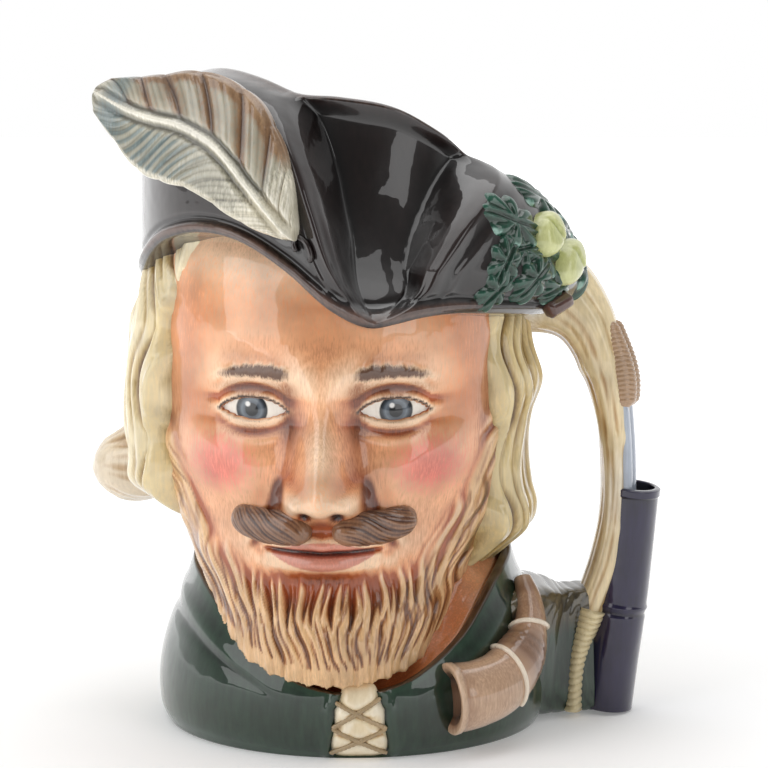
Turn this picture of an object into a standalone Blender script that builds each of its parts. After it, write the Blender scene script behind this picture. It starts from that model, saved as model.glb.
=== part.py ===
"""A toby jug: a glazed earthenware jug cast as the head of a bearded woodsman in a cocked hat.

The whole jug is one casting, so it is one object. Its forms are closed solids that a Boolean joins:
the coat with its foot, the head with hair and beard, the hat, and what lies on them. The hollow is
cut last, so that the wall has its true thickness all round. The face looks along -Y and the handle
stands out along +X. The carving is given in shares of the jug's height: one share is 1/190 of it,
a millimetre on the real jug.
"""

import bmesh
import bpy
import numpy as np
from mathutils import Matrix

JUG_HEIGHT = 0.190
WALL = 0.0045
FLOOR = 0.0060
LIP_THICKNESS = 0.0048
LIP_DEPTH = 0.0040
FOOT_RING_WIDTH = 0.0070
FOOT_RECESS = 0.0015
HANDLE_REACH = 0.0150
BOW_WIDTH = 0.0088
BOW_DEPTH = 0.0160
QUIVER_WIDTH = 0.0162
ARROW_SHAFT = 0.0042
COLLAR_GAP = 0.0030
SINK = 0.0030

SHARE = JUG_HEIGHT / 190.0
HEAD_TURN = np.radians(-3.0)
HEAD_AXIS = (-5.0, 2.0)
HAT_AXIS = (0.0, 2.0)
HOLLOW_AXIS = (0.0, 2.0)


def shares(length):
    """A real length in shares of the height, the unit of the carving."""
    return length / SHARE


# Curves and falloffs


def spline(keys, t):
    """A smooth curve through (t, value) keys, held level beyond the first and last."""
    x, y = np.array(keys, float).T
    slope = np.gradient(y, x)
    t = np.clip(t, x[0], x[-1])
    i = np.clip(np.searchsorted(x, t) - 1, 0, len(x) - 2)
    h = x[i + 1] - x[i]
    s = (t - x[i]) / h
    return (
        (1 + 2 * s) * (1 - s) ** 2 * y[i]
        + s * (1 - s) ** 2 * h * slope[i]
        + s**2 * (3 - 2 * s) * y[i + 1]
        + s**2 * (s - 1) * h * slope[i + 1]
    )


def round_spline(keys, degrees):
    """A smooth curve through (degrees, value) keys that closes on itself after a full turn."""
    keys = sorted(keys)
    before = [(d - 360.0, value) for d, value in keys]
    after = [(d + 360.0, value) for d, value in keys]
    return spline(before + keys + after, (degrees + 180.0) % 360.0 - 180.0)


def bell(x, middle, spread):
    return np.exp(-(((x - middle) / spread) ** 2))


def step(x, low, high):
    """0 below low, 1 above high, and smooth between."""
    s = np.clip((x - low) / (high - low), 0.0, 1.0)
    return s * s * (3 - 2 * s)


def blend_max(a, b, softness):
    """The larger of two surfaces, with a fillet between them."""
    return 0.5 * (a + b + np.sqrt((a - b) ** 2 + softness**2))


def oval(angle, left, right, front, back):
    """The radius of an oval with four half-widths. Angle 0 is the front and +90 degrees the right."""
    across = np.where(np.sin(angle) > 0, right, left)
    along = np.where(np.cos(angle) > 0, front, back)
    return 1.0 / np.sqrt((np.sin(angle) / across) ** 2 + (np.cos(angle) / along) ** 2)


def at_angle(axis, angle, radius, z):
    """Points at a radius from an upright axis."""
    x = axis[0] + radius * np.sin(angle)
    y = axis[1] - radius * np.cos(angle)
    return np.stack(np.broadcast_arrays(x, y, z), axis=-1)


# The head: face, beard and hair

FACE_LEVELS = {"mouth": 58.5, "nose": 69.5, "eyes": 97.0, "brow": 105.5}
EYE_SPACING = 19.5
BEARD_TIP = (3.5, 19.5)
HAIR_LOCKS = 18


def face_relief(x, z):
    """How far the face stands forward of the plain head, at x from its middle line and height z."""
    side = np.abs(x)
    eyes, nose, mouth = FACE_LEVELS["eyes"], FACE_LEVELS["nose"], FACE_LEVELS["mouth"]
    relief = 1.8 * bell(z, FACE_LEVELS["brow"], 6.5) * bell(side, 17, 18)
    relief -= 4.8 * bell(side, EYE_SPACING - 1, 12.5) * bell(z, eyes + 0.5, 8.5)
    relief += 3.8 * bell(side, EYE_SPACING, 9.0) * bell(z, eyes - 0.5, 5.2)
    ridge = spline(
        [(-9.5, 0), (-3.5, 1.5), (0, 9), (3, 15), (6.5, 17), (10.5, 15.6), (16.5, 12), (22.5, 8.6),
         (27.5, 6.2), (32.5, 4.6), (38.5, 2.8), (46.5, 0.9), (56.5, 0)],
        z - nose,
    )
    width = [(-1.5, 8.2), (5.5, 8.2), (10.5, 7.4), (18.5, 6.4), (26.5, 6.2), (34.5, 8.0), (44.5, 11)]
    width = spline(width, z - nose)
    relief += ridge * np.exp(-((side / width) ** 2.4))
    relief += 7.0 * bell(side, 7.8, 3.6) * bell(z, nose + 4.0, 3.8)
    relief += 3.4 * bell(side, 0, 20) * bell(z, mouth + 1.5, 11)
    relief += 1.8 * bell(z, mouth + 2.6, 2.0) * bell(side, 0, 12)
    relief += 2.4 * bell(z, mouth - 3.2, 2.4) * bell(side, 0, 10)
    relief -= 1.8 * bell(z, mouth + 0.05 * side, 1.1) * step(-side, -19, -15)
    relief -= 1.6 * bell(side, 0, 10) * bell(z, 50, 2.6)
    relief += 3.0 * bell(side, 31, 12) * bell(z, 86, 9)
    relief += 1.8 * bell(side, 23, 8) * bell(z, 77, 8)
    relief -= 1.6 * bell(side, 35, 9) * bell(z, 64, 9)
    return relief


def hair_waves(angle, z):
    """The locks of the hair as ridges that run down the head in slow waves."""
    sweep = 0.5 * HAIR_LOCKS * angle + 0.9 * np.sin(z / 11.0 + 2.0 * angle) + 0.4 * np.sin(z / 5.5 - angle)
    return 2.6 * np.abs(np.cos(sweep)) ** 0.8


def beard_locks(x, z):
    """The beard's locks, which run down to the tip."""
    fan = np.arctan2(x - BEARD_TIP[0], z + 22.0) + 0.03 * np.sin(z / 4.0)
    return 1.2 * np.abs(np.cos(26.0 * fan)) ** 0.8


def beard_cover(x, z):
    """1 on the beard and 0 off it."""
    side = np.abs(x)
    top = spline([(0, 46), (10, 46.5), (20, 49), (29, 55), (36, 66), (42, 82), (48, 98), (60, 112)], side)
    off = np.abs(x - BEARD_TIP[0])
    foot = spline([(0, 19.5), (7, 20.5), (15, 23), (20, 25.5), (29, 33), (37, 43), (43, 54), (47, 68), (54, 88)], off)
    return step(top - z, -6.0, 8.0) * step(z - foot, -1.2, 2.0)


def head_form(angle, z):
    """The outside of the head, before it is turned a little to its right."""
    jaw = spline([(5, 38), (32, 37), (40, 37.5), (47, 40), (55, 43), (62, 46.5), (75, 50), (95, 52), (120, 52),
                  (140, 51), (152, 48)], z)
    chin = spline([(5, 43), (25, 42), (34, 45), (42, 50), (52, 53), (75, 53), (100, 54), (120, 55), (135, 52),
                   (152, 43)], z)
    face = oval(angle, jaw, jaw, chin, 46.0)
    x = face * np.sin(angle)
    cover = beard_cover(x, z)
    beard = spline([(14, 51), (19, 56.5), (24, 59), (32, 59.5), (40, 58), (48, 55.5), (56, 54), (110, 53)], z)
    beard = oval(angle, jaw, jaw, beard, 46.0) + beard_locks(x, z)
    face = face + cover * (np.maximum(beard, face + 1.0) - face)

    hair = oval(
        angle,
        spline([(38, 34), (52, 37), (60, 41), (64, 49), (69, 57), (78, 59), (88, 59.5), (110, 58.5), (122, 57),
                (135, 53), (150, 48)], z),
        spline([(38, 34), (46, 42), (52, 49), (57, 54.5), (63, 56), (70, 54.5), (80, 53.5), (90, 54.5),
                (101, 57.5), (112, 54.5), (122, 53), (140, 50), (150, 46)], z),
        spline([(38, 30), (52, 40), (66, 47), (120, 49), (150, 45)], z),
        spline([(38, 32), (46, 42), (54, 50), (62, 53), (72, 52), (90, 49.5), (110, 50), (130, 49), (150, 44)], z),
    ) + hair_waves(angle, z)
    edge = spline([(40, 60), (60, 62), (75, 60), (95, 58), (115, 55), (135, 47), (150, 40)], z)
    behind = step(np.degrees(np.abs(angle)), edge - 6.0, edge + 7.0)
    hair = hair - 16.0 * (1.0 - behind)
    radius = blend_max(face, hair, 1.5)
    front = step(np.cos(angle), 0.25, 0.6) * (1.0 - 0.85 * cover)
    x, y = radius * np.sin(angle), -radius * np.cos(angle)
    return x, y - front * face_relief(x, z), z


def on_head(angle, z, lift=0.0):
    """A point on the turned head, or lifted off it away from the head's axis."""
    x, y, z = head_form(angle, z)
    far = 1.0 + lift / np.maximum(np.hypot(x, y), 1.0)
    turn_c, turn_s = np.cos(HEAD_TURN), np.sin(HEAD_TURN)
    across = HEAD_AXIS[0] + (x * turn_c - y * turn_s) * far
    along = HEAD_AXIS[1] + (x * turn_s + y * turn_c) * far
    return np.stack(np.broadcast_arrays(across, along, z), axis=-1)


def head_surface(u, v):
    """The head from under the collar up into the hat: u goes round it and v up it."""
    z = spline([(0, 14), (0.03, 18), (0.28, 52), (0.84, 110), (0.94, 128), (1, 152)], v)
    return on_head(head_angles(u), z)


def head_angles(u):
    """Angles round the head, closer together on the face than at the back."""
    s = 2.0 * u - 1.0
    return np.pi * (0.42 * s + 0.58 * s**3)


# The coat, with the foot and the collar


def coat_plan(angle, z):
    half_width = spline([(0, 55), (3, 56.5), (9, 57.5), (18, 57), (28, 54.5), (38, 50.5), (52, 46)], z)
    half_depth = spline([(0, 51), (3, 53), (9, 54.5), (18, 54.5), (28, 52), (38, 48), (52, 44)], z)
    return oval(angle, half_width, half_width, half_depth, half_depth)


def collar_height(angle):
    return round_spline(
        [(-165, 54), (-120, 53), (-85, 49), (-60, 43), (-35, 31), (-14, 21), (0, 19),
         (14, 21), (35, 31), (60, 45), (85, 51), (120, 53), (165, 54)],
        np.degrees(angle),
    )


def coat_surface(u, v):
    """From the middle of the recess under the foot, up the coat, over the collar and in across the neck."""
    angle = 2 * np.pi * (u - 0.5)
    top = collar_height(angle)
    recess, ring = shares(FOOT_RECESS), shares(FOOT_RING_WIDTH)
    gap = shares(COLLAR_GAP)
    foot = coat_plan(angle, 0.0)
    rings = [
        (foot - ring - recess, recess + 0.0 * foot),
        (foot - ring, 0.0 * foot),
        (foot, 0.0 * foot),
    ]
    for share in (0.07, 0.18, 0.36, 0.56, 0.76, 0.92):
        rings.append((coat_plan(angle, share * top), share * top))
    edge = coat_plan(angle, top)
    rings.append((edge - 0.4, top - 0.3))
    rings.append((edge - gap, top - 0.4))
    rings.append((edge - gap - 0.8, top - 3.0))
    rings.append((edge - 2.0 * gap - 3.0, top - 1.8))
    return ringed([at_angle((0.0, 0.0), angle, radius, height) for radius, height in rings], v)


def ringed(rings, v):
    """A surface through rings of points, evenly spaced in v."""
    place = v * (len(rings) - 1)
    low = np.clip(np.floor(place).astype(int), 0, len(rings) - 2)
    part = (place - low)[:, None]
    pick = np.arange(len(v))
    rings = np.array(rings)
    return rings[low, pick] * (1 - part) + rings[low + 1, pick] * part


# The hat: crown, turned-up brim and peak

BRIM_EDGE_HEIGHT = [(-180, 118), (-140, 119), (-110, 124), (-90, 129), (-74, 135), (-53, 144), (-40, 146.5),
                    (-27, 144.5), (-14, 136), (-4, 127), (4, 123), (10, 123.5), (16, 124.5), (26, 125),
                    (40, 124), (61, 122), (85, 120), (115, 118.5), (145, 118)]
BRIM_EDGE_RADIUS = [(-180, 61), (-120, 62), (-90, 61.5), (-74, 62), (-53, 63.5), (-40, 64), (-27, 65), (-14, 66),
                    (-4, 70), (4, 73), (12, 69), (24, 65), (39, 64), (61, 66), (85, 67), (115, 65), (145, 62)]
RIM_HEIGHT = [(-180, 175), (-150, 179), (-120, 184), (-90, 188), (-62, 189.4), (-36, 186.4), (-22, 183),
              (-4, 182), (17, 179), (33, 173), (52, 165), (70, 160.5), (90, 158), (120, 159), (150, 167)]
RIM_RADIUS = [(-180, 47), (-135, 46), (-90, 45), (-60, 42), (-36, 42), (-22, 42), (-4, 43), (17, 44),
              (33, 44), (52, 42), (70, 39), (90, 39), (120, 43), (150, 46)]
FULLNESS = [(-180, 4), (-90, 5), (-40, 4.5), (0, 3.5), (50, 2.8), (85, 2.4), (130, 3)]
TUCK = [(-180, 3), (-90, 0.5), (-40, 0), (10, 1), (50, 5), (85, 8), (130, 6)]
LEFT_FOLD = [(0, 4), (0.16, -2), (0.43, -7.5), (0.66, -12), (0.88, -19), (1, -25)]
RIGHT_FOLD = [(0, 5), (0.05, 12), (0.24, 20), (0.49, 29), (0.75, 40), (1, 52)]
HAT_COLUMNS = 50


def hat_form(angle, t):
    """A point on the outside of the hat: t runs from the brim's lower edge, 0, to the rim, 1."""
    degrees = np.degrees(angle)
    low, high = round_spline(BRIM_EDGE_HEIGHT, degrees), round_spline(RIM_HEIGHT, degrees)
    edge, rim = round_spline(BRIM_EDGE_RADIUS, degrees), round_spline(RIM_RADIUS, degrees)
    z = low + (high - low) * t
    within = np.clip(t, 0.0, 1.0)
    full = np.sqrt(1.0 - within ** round_spline(FULLNESS, degrees))
    tuck = round_spline(TUCK, degrees) * np.clip(1.0 - t / 0.25, 0.0, 1.0) ** 2
    brim = rim + (edge - rim) * full - tuck
    crown = rim + (edge - rim) * (1 - within) ** 2.4 - 2.0 * step(t, 0.3, 0.9) * (1 - step(t, 0.9, 1.0))
    left = spline(LEFT_FOLD, t)
    right = spline(RIGHT_FOLD, t)
    width = 2.5 + 5.0 * step(t, 0.0, 0.4)
    panel = step(degrees - left, -0.3 * width, width) * step(right - degrees, -0.3 * width, width)
    rolled = 1.2 * (bell(degrees, left - 1.5, 2.6) + bell(degrees, right + 1.5, 2.6)) * step(t, 0.02, 0.2)
    radius = brim + rolled * (1 - t) + (np.minimum(crown, brim) - brim - rolled * (1 - t)) * panel
    return radius, z


def hat_surface(u, v):
    """From inside the head, out under the brim, up to the rim, over the lip and in to the middle."""
    lip = shares(LIP_THICKNESS)
    angle = hat_angles(u, 0.0)
    edge, low = hat_form(angle, 0.0)
    rings = [
        at_angle(HAT_AXIS, angle, edge - 24.0, low - 4.0),
        at_angle(HAT_AXIS, angle, edge - 1.8, low - 0.2),
    ]
    for t in (0.02, 0.08, 0.16, 0.25, 0.35, 0.46, 0.57, 0.68, 0.79, 0.89, 0.96):
        angle = hat_angles(u, t)
        rings.append(at_angle(HAT_AXIS, angle, *hat_form(angle, t)))
    angle = hat_angles(u, 1.0)
    rim, top = hat_form(angle, 1.0)
    for inward, up in ((0.25, 0.5), (0.7, 0.4), (1.3, -1.5), (1.5, -4.0)):
        rings.append(at_angle(HAT_AXIS, angle, rim - inward * lip, top + up))
    return ringed(rings, v)


def hat_angles(u, t):
    """Angles round the hat at height t, in columns that follow its two folds from the rim to the peak."""
    left, right = spline(LEFT_FOLD, t), spline(RIGHT_FOLD, t)
    width = 2.5 + 5.0 * step(t, 0.0, 0.4)
    middle = 0.5 * (left + right)
    columns = [
        (0, -180.0), (16, left - 9.0), (18, left - 1.5), (20, min(left + width, middle - 0.3)),
        (27, max(right - width, middle + 0.3)), (29, right + 1.5), (31, right + 9.0), (HAT_COLUMNS, 180.0),
    ]
    place, degrees = np.array(columns, float).T
    return np.radians(np.interp(u * HAT_COLUMNS, place, degrees))


def on_hat(angle, t, lift):
    """A point lifted off the hat's surface along its normal."""
    small = 0.01
    here = at_angle(HAT_AXIS, angle, *hat_form(angle, t))
    round_it = at_angle(HAT_AXIS, angle + small, *hat_form(angle + small, t)) - here
    up_it = at_angle(HAT_AXIS, angle, *hat_form(angle, t + small)) - here
    normal = np.cross(round_it, up_it)
    normal /= np.linalg.norm(normal, axis=-1, keepdims=True)
    return here + normal * np.asarray(lift)[..., None]


# Swept and laid forms


def swept(path, widths, depths, sideways, u, v, rounding=0.0, power=1.0):
    """A rod along a path of points. Its section is an oval, or a rounded box where power is under 1.

    Rounding is the share of its length over which each end is rounded off.
    """
    keys = np.linspace(0, 1, len(path))
    centre = [np.array([keys, axis]).T for axis in np.array(path, float).T]
    small = 0.01
    here = np.stack([spline(axis, v) for axis in centre], axis=-1)
    ahead = np.stack([spline(axis, np.clip(v + small, 0, 1)) for axis in centre], axis=-1)
    back = np.stack([spline(axis, np.clip(v - small, 0, 1)) for axis in centre], axis=-1)
    along = ahead - back
    along /= np.linalg.norm(along, axis=-1, keepdims=True)
    side = np.cross(along, np.array(sideways, float))
    side /= np.linalg.norm(side, axis=-1, keepdims=True)
    third = np.cross(side, along)
    half_width = 0.5 * spline(np.array([np.linspace(0, 1, len(widths)), widths]).T, v)
    half_depth = 0.5 * spline(np.array([np.linspace(0, 1, len(depths)), depths]).T, v)
    closing = np.ones_like(v)
    if rounding:
        closing = np.sqrt(1 - (1 - np.clip(np.minimum(v, 1 - v) / rounding, 0, 1)) ** 2)
    a, b = np.cos(2 * np.pi * u), np.sin(2 * np.pi * u)
    a, b = np.sign(a) * np.abs(a) ** power, np.sign(b) * np.abs(b) ** power
    offset = side * (half_width * a)[:, None] + third * (half_depth * b)[:, None]
    return here + offset * closing[:, None]


def laid(host, outline, rise, sink, u, v):
    """A pad on a surface: u goes round its outline, v from the middle of its top to the middle of its back."""
    out = np.sin(np.pi * v)
    a, b = outline(2 * np.pi * u)
    rim = -0.4 * sink
    height = np.where(v <= 0.5, rim + (rise - rim) * (1 - out**6), rim - (sink + rim) * (1 - out**2))
    return host(a * out, b * out, height)


def leaf_outline(length, width, point):
    """A leaf or a berry about its middle: the higher point is, the sharper are its two ends."""

    def outline(turn):
        across = 0.5 * width * np.sin(turn) * np.abs(np.sin(turn)) ** point
        return 0.5 * length * np.cos(turn), across

    return outline


def hat_host(degrees, t, tilt):
    """Places local (a, b) on the hat, about a point and turned by tilt degrees."""
    turn = np.radians(tilt)

    def host(a, b, height):
        across = a * np.cos(turn) - b * np.sin(turn)
        up = a * np.sin(turn) + b * np.cos(turn)
        return on_hat(np.radians(degrees) + across / 66.0, np.clip(t + up / 42.0, 0.01, 0.99), height)

    return host


FEATHER_RIB = [(-14.9, -67, 145.5), (-20.8, -65.5, 152.3), (-27, -62.5, 159.8), (-35.5, -57, 169.5),
               (-45.2, -49.5, 174.8), (-54.5, -41, 176.8), (-62.4, -33.5, 179.3), (-71.5, -27, 184.0)]
FEATHER_LOW = [(0, 0.6), (0.12, 5), (0.28, 9.5), (0.45, 14), (0.6, 16), (0.72, 14.5), (0.88, 8.5), (1, 4)]
FEATHER_HIGH = [(0, 0.6), (0.12, 7), (0.28, 13.5), (0.45, 17), (0.6, 16), (0.72, 13), (0.88, 9), (1, 4)]
FEATHER_ROOT = [(0, 5), (0.3, 7), (0.55, 12), (0.75, 20), (0.9, 16), (1, 4)]


def feather_surface(u, v):
    """A broad feather: v runs from the quill to the tip, u round its section, whose root is in the hat."""
    keys = np.linspace(0, 1, len(FEATHER_RIB))
    rib = np.stack([spline(np.array([keys, axis]).T, v) for axis in np.array(FEATHER_RIB).T], axis=-1)
    turn = 2 * np.pi * u
    across, through = np.cos(turn), np.sin(turn)
    reach = np.where(across > 0, spline(FEATHER_HIGH, v), spline(FEATHER_LOW, v))
    lean = spline([(0, 45), (0.4, 55), (0.7, 72), (1, 60)], v)
    up = np.stack([np.cos(np.radians(lean)), 0.1 + 0 * v, np.sin(np.radians(lean))], axis=-1)
    out = np.stack([-0.45 + 0 * v, -0.85 + 0.2 * v, 0.2 + 0 * v], axis=-1)
    depth = np.where(through > 0, 2.4, spline(FEATHER_ROOT, v))
    thickness = depth * np.sign(through) * np.abs(through) ** 0.6 - 0.12 * np.abs(across * reach)
    closing = np.clip(np.minimum(v, 1 - v) / 0.04, 0, 1) ** 0.5
    return rib + up * (across * reach * closing)[:, None] + out * (thickness * closing)[:, None]


# The hollow


def seen_from_axis(points, angles):
    """The radius of a ring of points at the given angles round the hollow's axis."""
    x, y = points[:, 0] - HOLLOW_AXIS[0], points[:, 1] - HOLLOW_AXIS[1]
    around = np.arctan2(x, -y)
    order = np.argsort(around)
    return np.interp(angles, around[order], np.hypot(x, y)[order], period=2 * np.pi)


def outer_radii(angles, levels):
    """The outside of the coat, head and hat together about the hollow's axis, a row for each level."""
    neck = shares(COLLAR_GAP) + 0.8
    collar = collar_height(angles)
    degrees = np.degrees(angles)
    low, high = round_spline(BRIM_EDGE_HEIGHT, degrees), round_spline(RIM_HEIGHT, degrees)
    rows = []
    for z in levels:
        coat = coat_plan(angles, z) - neck * step(z, collar - 8.0, collar - 4.0)
        coat = seen_from_axis(at_angle((0.0, 0.0), angles, coat, z), angles)
        head = seen_from_axis(on_head(angles, np.full(angles.shape, z)), angles)
        hat = hat_form(angles, np.clip((z - low) / (high - low), 0.0, 1.0))[0]
        under_hat = np.maximum(np.where(z < collar - 1.0, coat, 0.0), np.where(z < low + 8.0, head, 0.0))
        rows.append(np.maximum(under_hat, np.where(z > low + 6.0, hat, 0.0)))
    return np.array(rows)


def hollow_radii(angles, levels):
    """The inside of the wall: the outside without its fine relief, less the wall."""
    radii = outer_radii(angles, levels)
    smallest = radii.copy()
    for turn in range(-4, 5):
        for rise in range(-3, 4):
            moved = np.roll(radii, turn, axis=1)
            moved = moved[np.clip(np.arange(len(levels)) + rise, 0, len(levels) - 1)]
            smallest = np.minimum(smallest, moved)
    for _ in range(3):
        smallest = (np.roll(smallest, 1, axis=1) + 2 * smallest + np.roll(smallest, -1, axis=1)) / 4
        smallest[1:-1] = (smallest[:-2] + 2 * smallest[1:-1] + smallest[2:]) / 4
    return smallest - shares(WALL)


def hollow_surface(u, v):
    """The hollow from its floor up through the mouth, as a closed form that stands out of the mouth."""
    columns, levels = np.linspace(-np.pi, np.pi, 180, endpoint=False), np.arange(0.0, 200.0, 1.6)
    table = hollow_radii(columns, levels)
    angle = 2 * np.pi * (u - 0.5)
    floor, lip = shares(FLOOR), shares(LIP_THICKNESS)
    z = spline([(0, floor), (0.07, floor + 2.5), (0.93, 184), (1, 196)], v)
    column = (angle + np.pi) / (2 * np.pi) * len(columns)
    row = np.clip(z / 1.6, 0, len(levels) - 1.001)
    i, j = np.floor(row).astype(int), np.floor(column).astype(int)
    a, b = row - i, column - j
    j, k = j % len(columns), (j + 1) % len(columns)
    radius = (1 - a) * ((1 - b) * table[i, j] + b * table[i, k]) + a * (
        (1 - b) * table[i + 1, j] + b * table[i + 1, k])
    radius -= 7.0 * (1 - step(z, floor - 1.0, floor + 10.0))
    degrees = np.degrees(angle)
    rim, rim_height = round_spline(RIM_RADIUS, degrees), round_spline(RIM_HEIGHT, degrees)
    below = rim_height - shares(LIP_DEPTH)
    radius += (rim - lip - radius) * step(z, below - 8.0, below)
    return at_angle(HOLLOW_AXIS, angle, radius, z)


# What lies on the jug

HORN_PATH = [(27, -49.5, 16.4), (35, -45.5, 17), (42, -39.5, 19), (48, -31, 24.5), (51, -24, 31),
             (50.8, -18, 37.5), (49, -14, 44)]
HORN_WIDTHS = [20, 19, 18.2, 15.5, 10.5, 8.3, 5]
BOW_PATH = [(46, 6, 128), (58, 4, 125), (67.5, 2, 117), (73, 0.5, 104), (75.9, 0, 90), (77.1, 0, 75), (76.9, 0, 60),
            (74.6, 0, 46), (70, 0, 32), (65.6, 0, 18), (64.4, 0, 1.2)]
LOCK_PATH = [(-46, 22, 80), (-56, 23, 75), (-66, 22, 71), (-74, 20, 70), (-79, 19, 69.5)]


def bow_surface(u, v):
    width, depth = shares(BOW_WIDTH), shares(BOW_DEPTH)
    widths = np.array([3.1, 3.0, 2.1, 1.5, 1.15, 1.0, 1.0, 1.1, 1.05, 0.85, 0.8]) * width
    depths = np.array([1.5, 1.5, 1.3, 1.1, 1.0, 0.95, 0.95, 1.0, 1.0, 1.0, 1.0]) * depth
    return swept(BOW_PATH, widths, depths, (0, 1, 0), u, v)


def quiver_path():
    """The quiver leans out from the foot of the bow."""
    reach = shares(HANDLE_REACH)
    return [(60 + reach, 1.5, 1.2), (61.5 + reach, 1.5, 16), (64 + reach, 1, 34), (66 + reach, 0.5, 52),
            (67.5 + reach, 0, 68)]


def quiver_surface(u, v):
    width = shares(QUIVER_WIDTH)
    widths = np.array([1.0, 1.03, 1.0, 0.96, 0.94]) * width
    return swept(quiver_path(), widths, 1.15 * widths, (0, 1, 0), u, v)


def arrow_path(place):
    """An arrow from the quiver's mouth up the back of the handle. Place is -1, 0 or 1 across it."""
    reach = shares(HANDLE_REACH)
    x, y = 66.5 + reach - 1.5 * abs(place), 4.6 * place
    return [(x, y, 62), (x - 0.7, y, 82), (x - 2.7, 0.9 * y, 100), (x - 6.5, 0.8 * y, 117)]


def arrow_surface(place, u, v):
    shaft = shares(ARROW_SHAFT)
    widths = [shaft, shaft, 2.3 * shaft, 1.4 * shaft]
    return swept(arrow_path(place), widths, [1.25 * shaft, 1.25 * shaft, 1.5 * shaft, shaft], (0, 1, 0), u, v,
                 rounding=0.1)


def web_surface(u, v):
    """The turf that joins the coat to the foot of the handle."""
    path = [(34, -2, 21), (50, -1.5, 20.5), (60, -1, 19.5), (70, 0, 19.8)]
    return swept(path, [41, 39.5, 37, 37.6], [52, 40, 22, 15], (0, 1, 0), u, v, power=0.4)


def horn_surface(u, v):
    depths = 0.85 * np.array(HORN_WIDTHS)
    return swept(HORN_PATH, HORN_WIDTHS, depths, (0.6, -0.8, 0), u, v, rounding=0.04)


def lock_surface(u, v):
    return swept(LOCK_PATH, [22, 25, 24, 17, 6], [24, 26, 24, 16, 6], (0, 1, 0), u, v, rounding=0.1)


def placket_surface(u, v):
    """The laced front of the shirt, a soft pad between the two sides of the coat."""

    def outline(turn):
        tall = 10.6 * np.sign(np.sin(turn)) * np.abs(np.sin(turn)) ** 0.45
        half = 7.2 - 0.16 * tall
        return half * np.sign(np.cos(turn)) * np.abs(np.cos(turn)) ** 0.45, tall

    def host(a, b, height):
        z = 10.8 + b
        angle = np.radians(2.0) + a / 54.0
        return at_angle((0, 0), angle, coat_plan(angle, z) + height, z)

    return laid(host, outline, 1.6, 3.0, u, v)


MOUSTACHE_PATH = [(3.0, 63.6, 0.3), (9.5, 65.3, 0.8), (16.5, 65.5, 0.9), (23.0, 66.6, 0.8), (28.5, 68.8, 0.5)]


def moustache_surface(side, u, v):
    """One half of the moustache: a thick, blunt lobe from under the nose out to its lifted end."""
    degrees, z, lift = np.array(MOUSTACHE_PATH).T
    path = on_head(side * np.radians(degrees), z, lift)
    return swept(path, [6.6, 9.2, 9.4, 8.6, 6.0], [6, 7.2, 6.8, 6, 4.6], (0, 1, 0), u, v, rounding=0.14)


LEAVES = [(45.5, 0.56, 176, 25, 13), (41, 0.30, 235, 16, 11), (38.5, 0.13, 220, 16, 8),
          (51, 0.22, 220, 20, 10), (64, 0.80, 172, 28, 12), (84, 0.33, 65, 24, 13)]
CONES = [(58, 0.535, 46, 16, 11), (67, 0.365, 40, 19, 11)]


# Building the solid


def rolled(name, columns, rows, form):
    """A grid rolled into a closed form. form(u, v) places its rings, and a flat cap closes each end."""
    bm = bmesh.new()
    bmesh.ops.create_grid(bm, x_segments=columns, y_segments=rows + 2, size=0.5)
    flat = np.array([vertex.co for vertex in bm.verts])[:, :2] + 0.5
    ring = np.round(flat[:, 1] * (rows + 2)).astype(int)
    placed = form(flat[:, 0], np.clip((ring - 1) / rows, 0.0, 1.0))
    for end in (0, rows + 2):
        placed[ring == end] = placed[ring == end][1:].mean(axis=0)
    for vertex, point in zip(bm.verts, placed * SHARE):
        vertex.co = point
    bmesh.ops.remove_doubles(bm, verts=bm.verts, dist=1e-6)
    bmesh.ops.dissolve_degenerate(bm, dist=1e-6, edges=bm.edges)
    bmesh.ops.recalc_face_normals(bm, faces=bm.faces)
    mesh = bpy.data.meshes.new(name)
    bm.to_mesh(mesh)
    bm.free()
    return bpy.data.objects.new(name, mesh)


def glaze():
    """A clear lead glaze over the painted body: the record and the scene hold each form's own colour."""
    material = bpy.data.materials.new("glazed_earthenware")
    material.use_nodes = True
    shader = material.node_tree.nodes["Principled BSDF"]
    shader.inputs["Base Color"].default_value = (0.62, 0.42, 0.27, 1.0)
    shader.inputs["Roughness"].default_value = 0.12
    shader.inputs["Metallic"].default_value = 0.0
    return material


def carved_forms():
    """Every closed form that is joined into the casting, largest first."""
    forms = [
        rolled("coat", 42, 12, coat_surface),
        rolled("hat", HAT_COLUMNS, 16, hat_surface),
        rolled("feather", 12, 12, feather_surface),
        rolled("bow", 12, 15, bow_surface),
        rolled("quiver", 12, 4, quiver_surface),
        rolled("web", 12, 3, web_surface),
        rolled("horn", 12, 10, horn_surface),
        rolled("lock", 10, 7, lock_surface),
        rolled("placket", 10, 4, placket_surface),
    ]
    for side in (-1, 1):
        forms.append(rolled(f"moustache_{side}", 8, 7, lambda u, v, s=side: moustache_surface(s, u, v)))
    for place in (-1, 0, 1):
        forms.append(rolled(f"arrow_{place}", 6, 6, lambda u, v, p=place: arrow_surface(p, u, v)))
    for count, (degrees, t, tilt, length, width) in enumerate(LEAVES):
        host, outline = hat_host(degrees, t, tilt), leaf_outline(length, width, 0.7)
        sink = shares(SINK)
        forms.append(rolled(f"leaf_{count}", 12, 4, lambda u, v, h=host, o=outline: laid(h, o, 1.8, sink, u, v)))
    for count, (degrees, t, tilt, length, width) in enumerate(CONES):
        host, outline = hat_host(degrees, t, tilt), leaf_outline(length, width, 0.0)
        sink = shares(SINK)
        forms.append(rolled(f"cone_{count}", 10, 4, lambda u, v, h=host, o=outline: laid(h, o, 4.2, sink, u, v)))
    return forms


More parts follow.
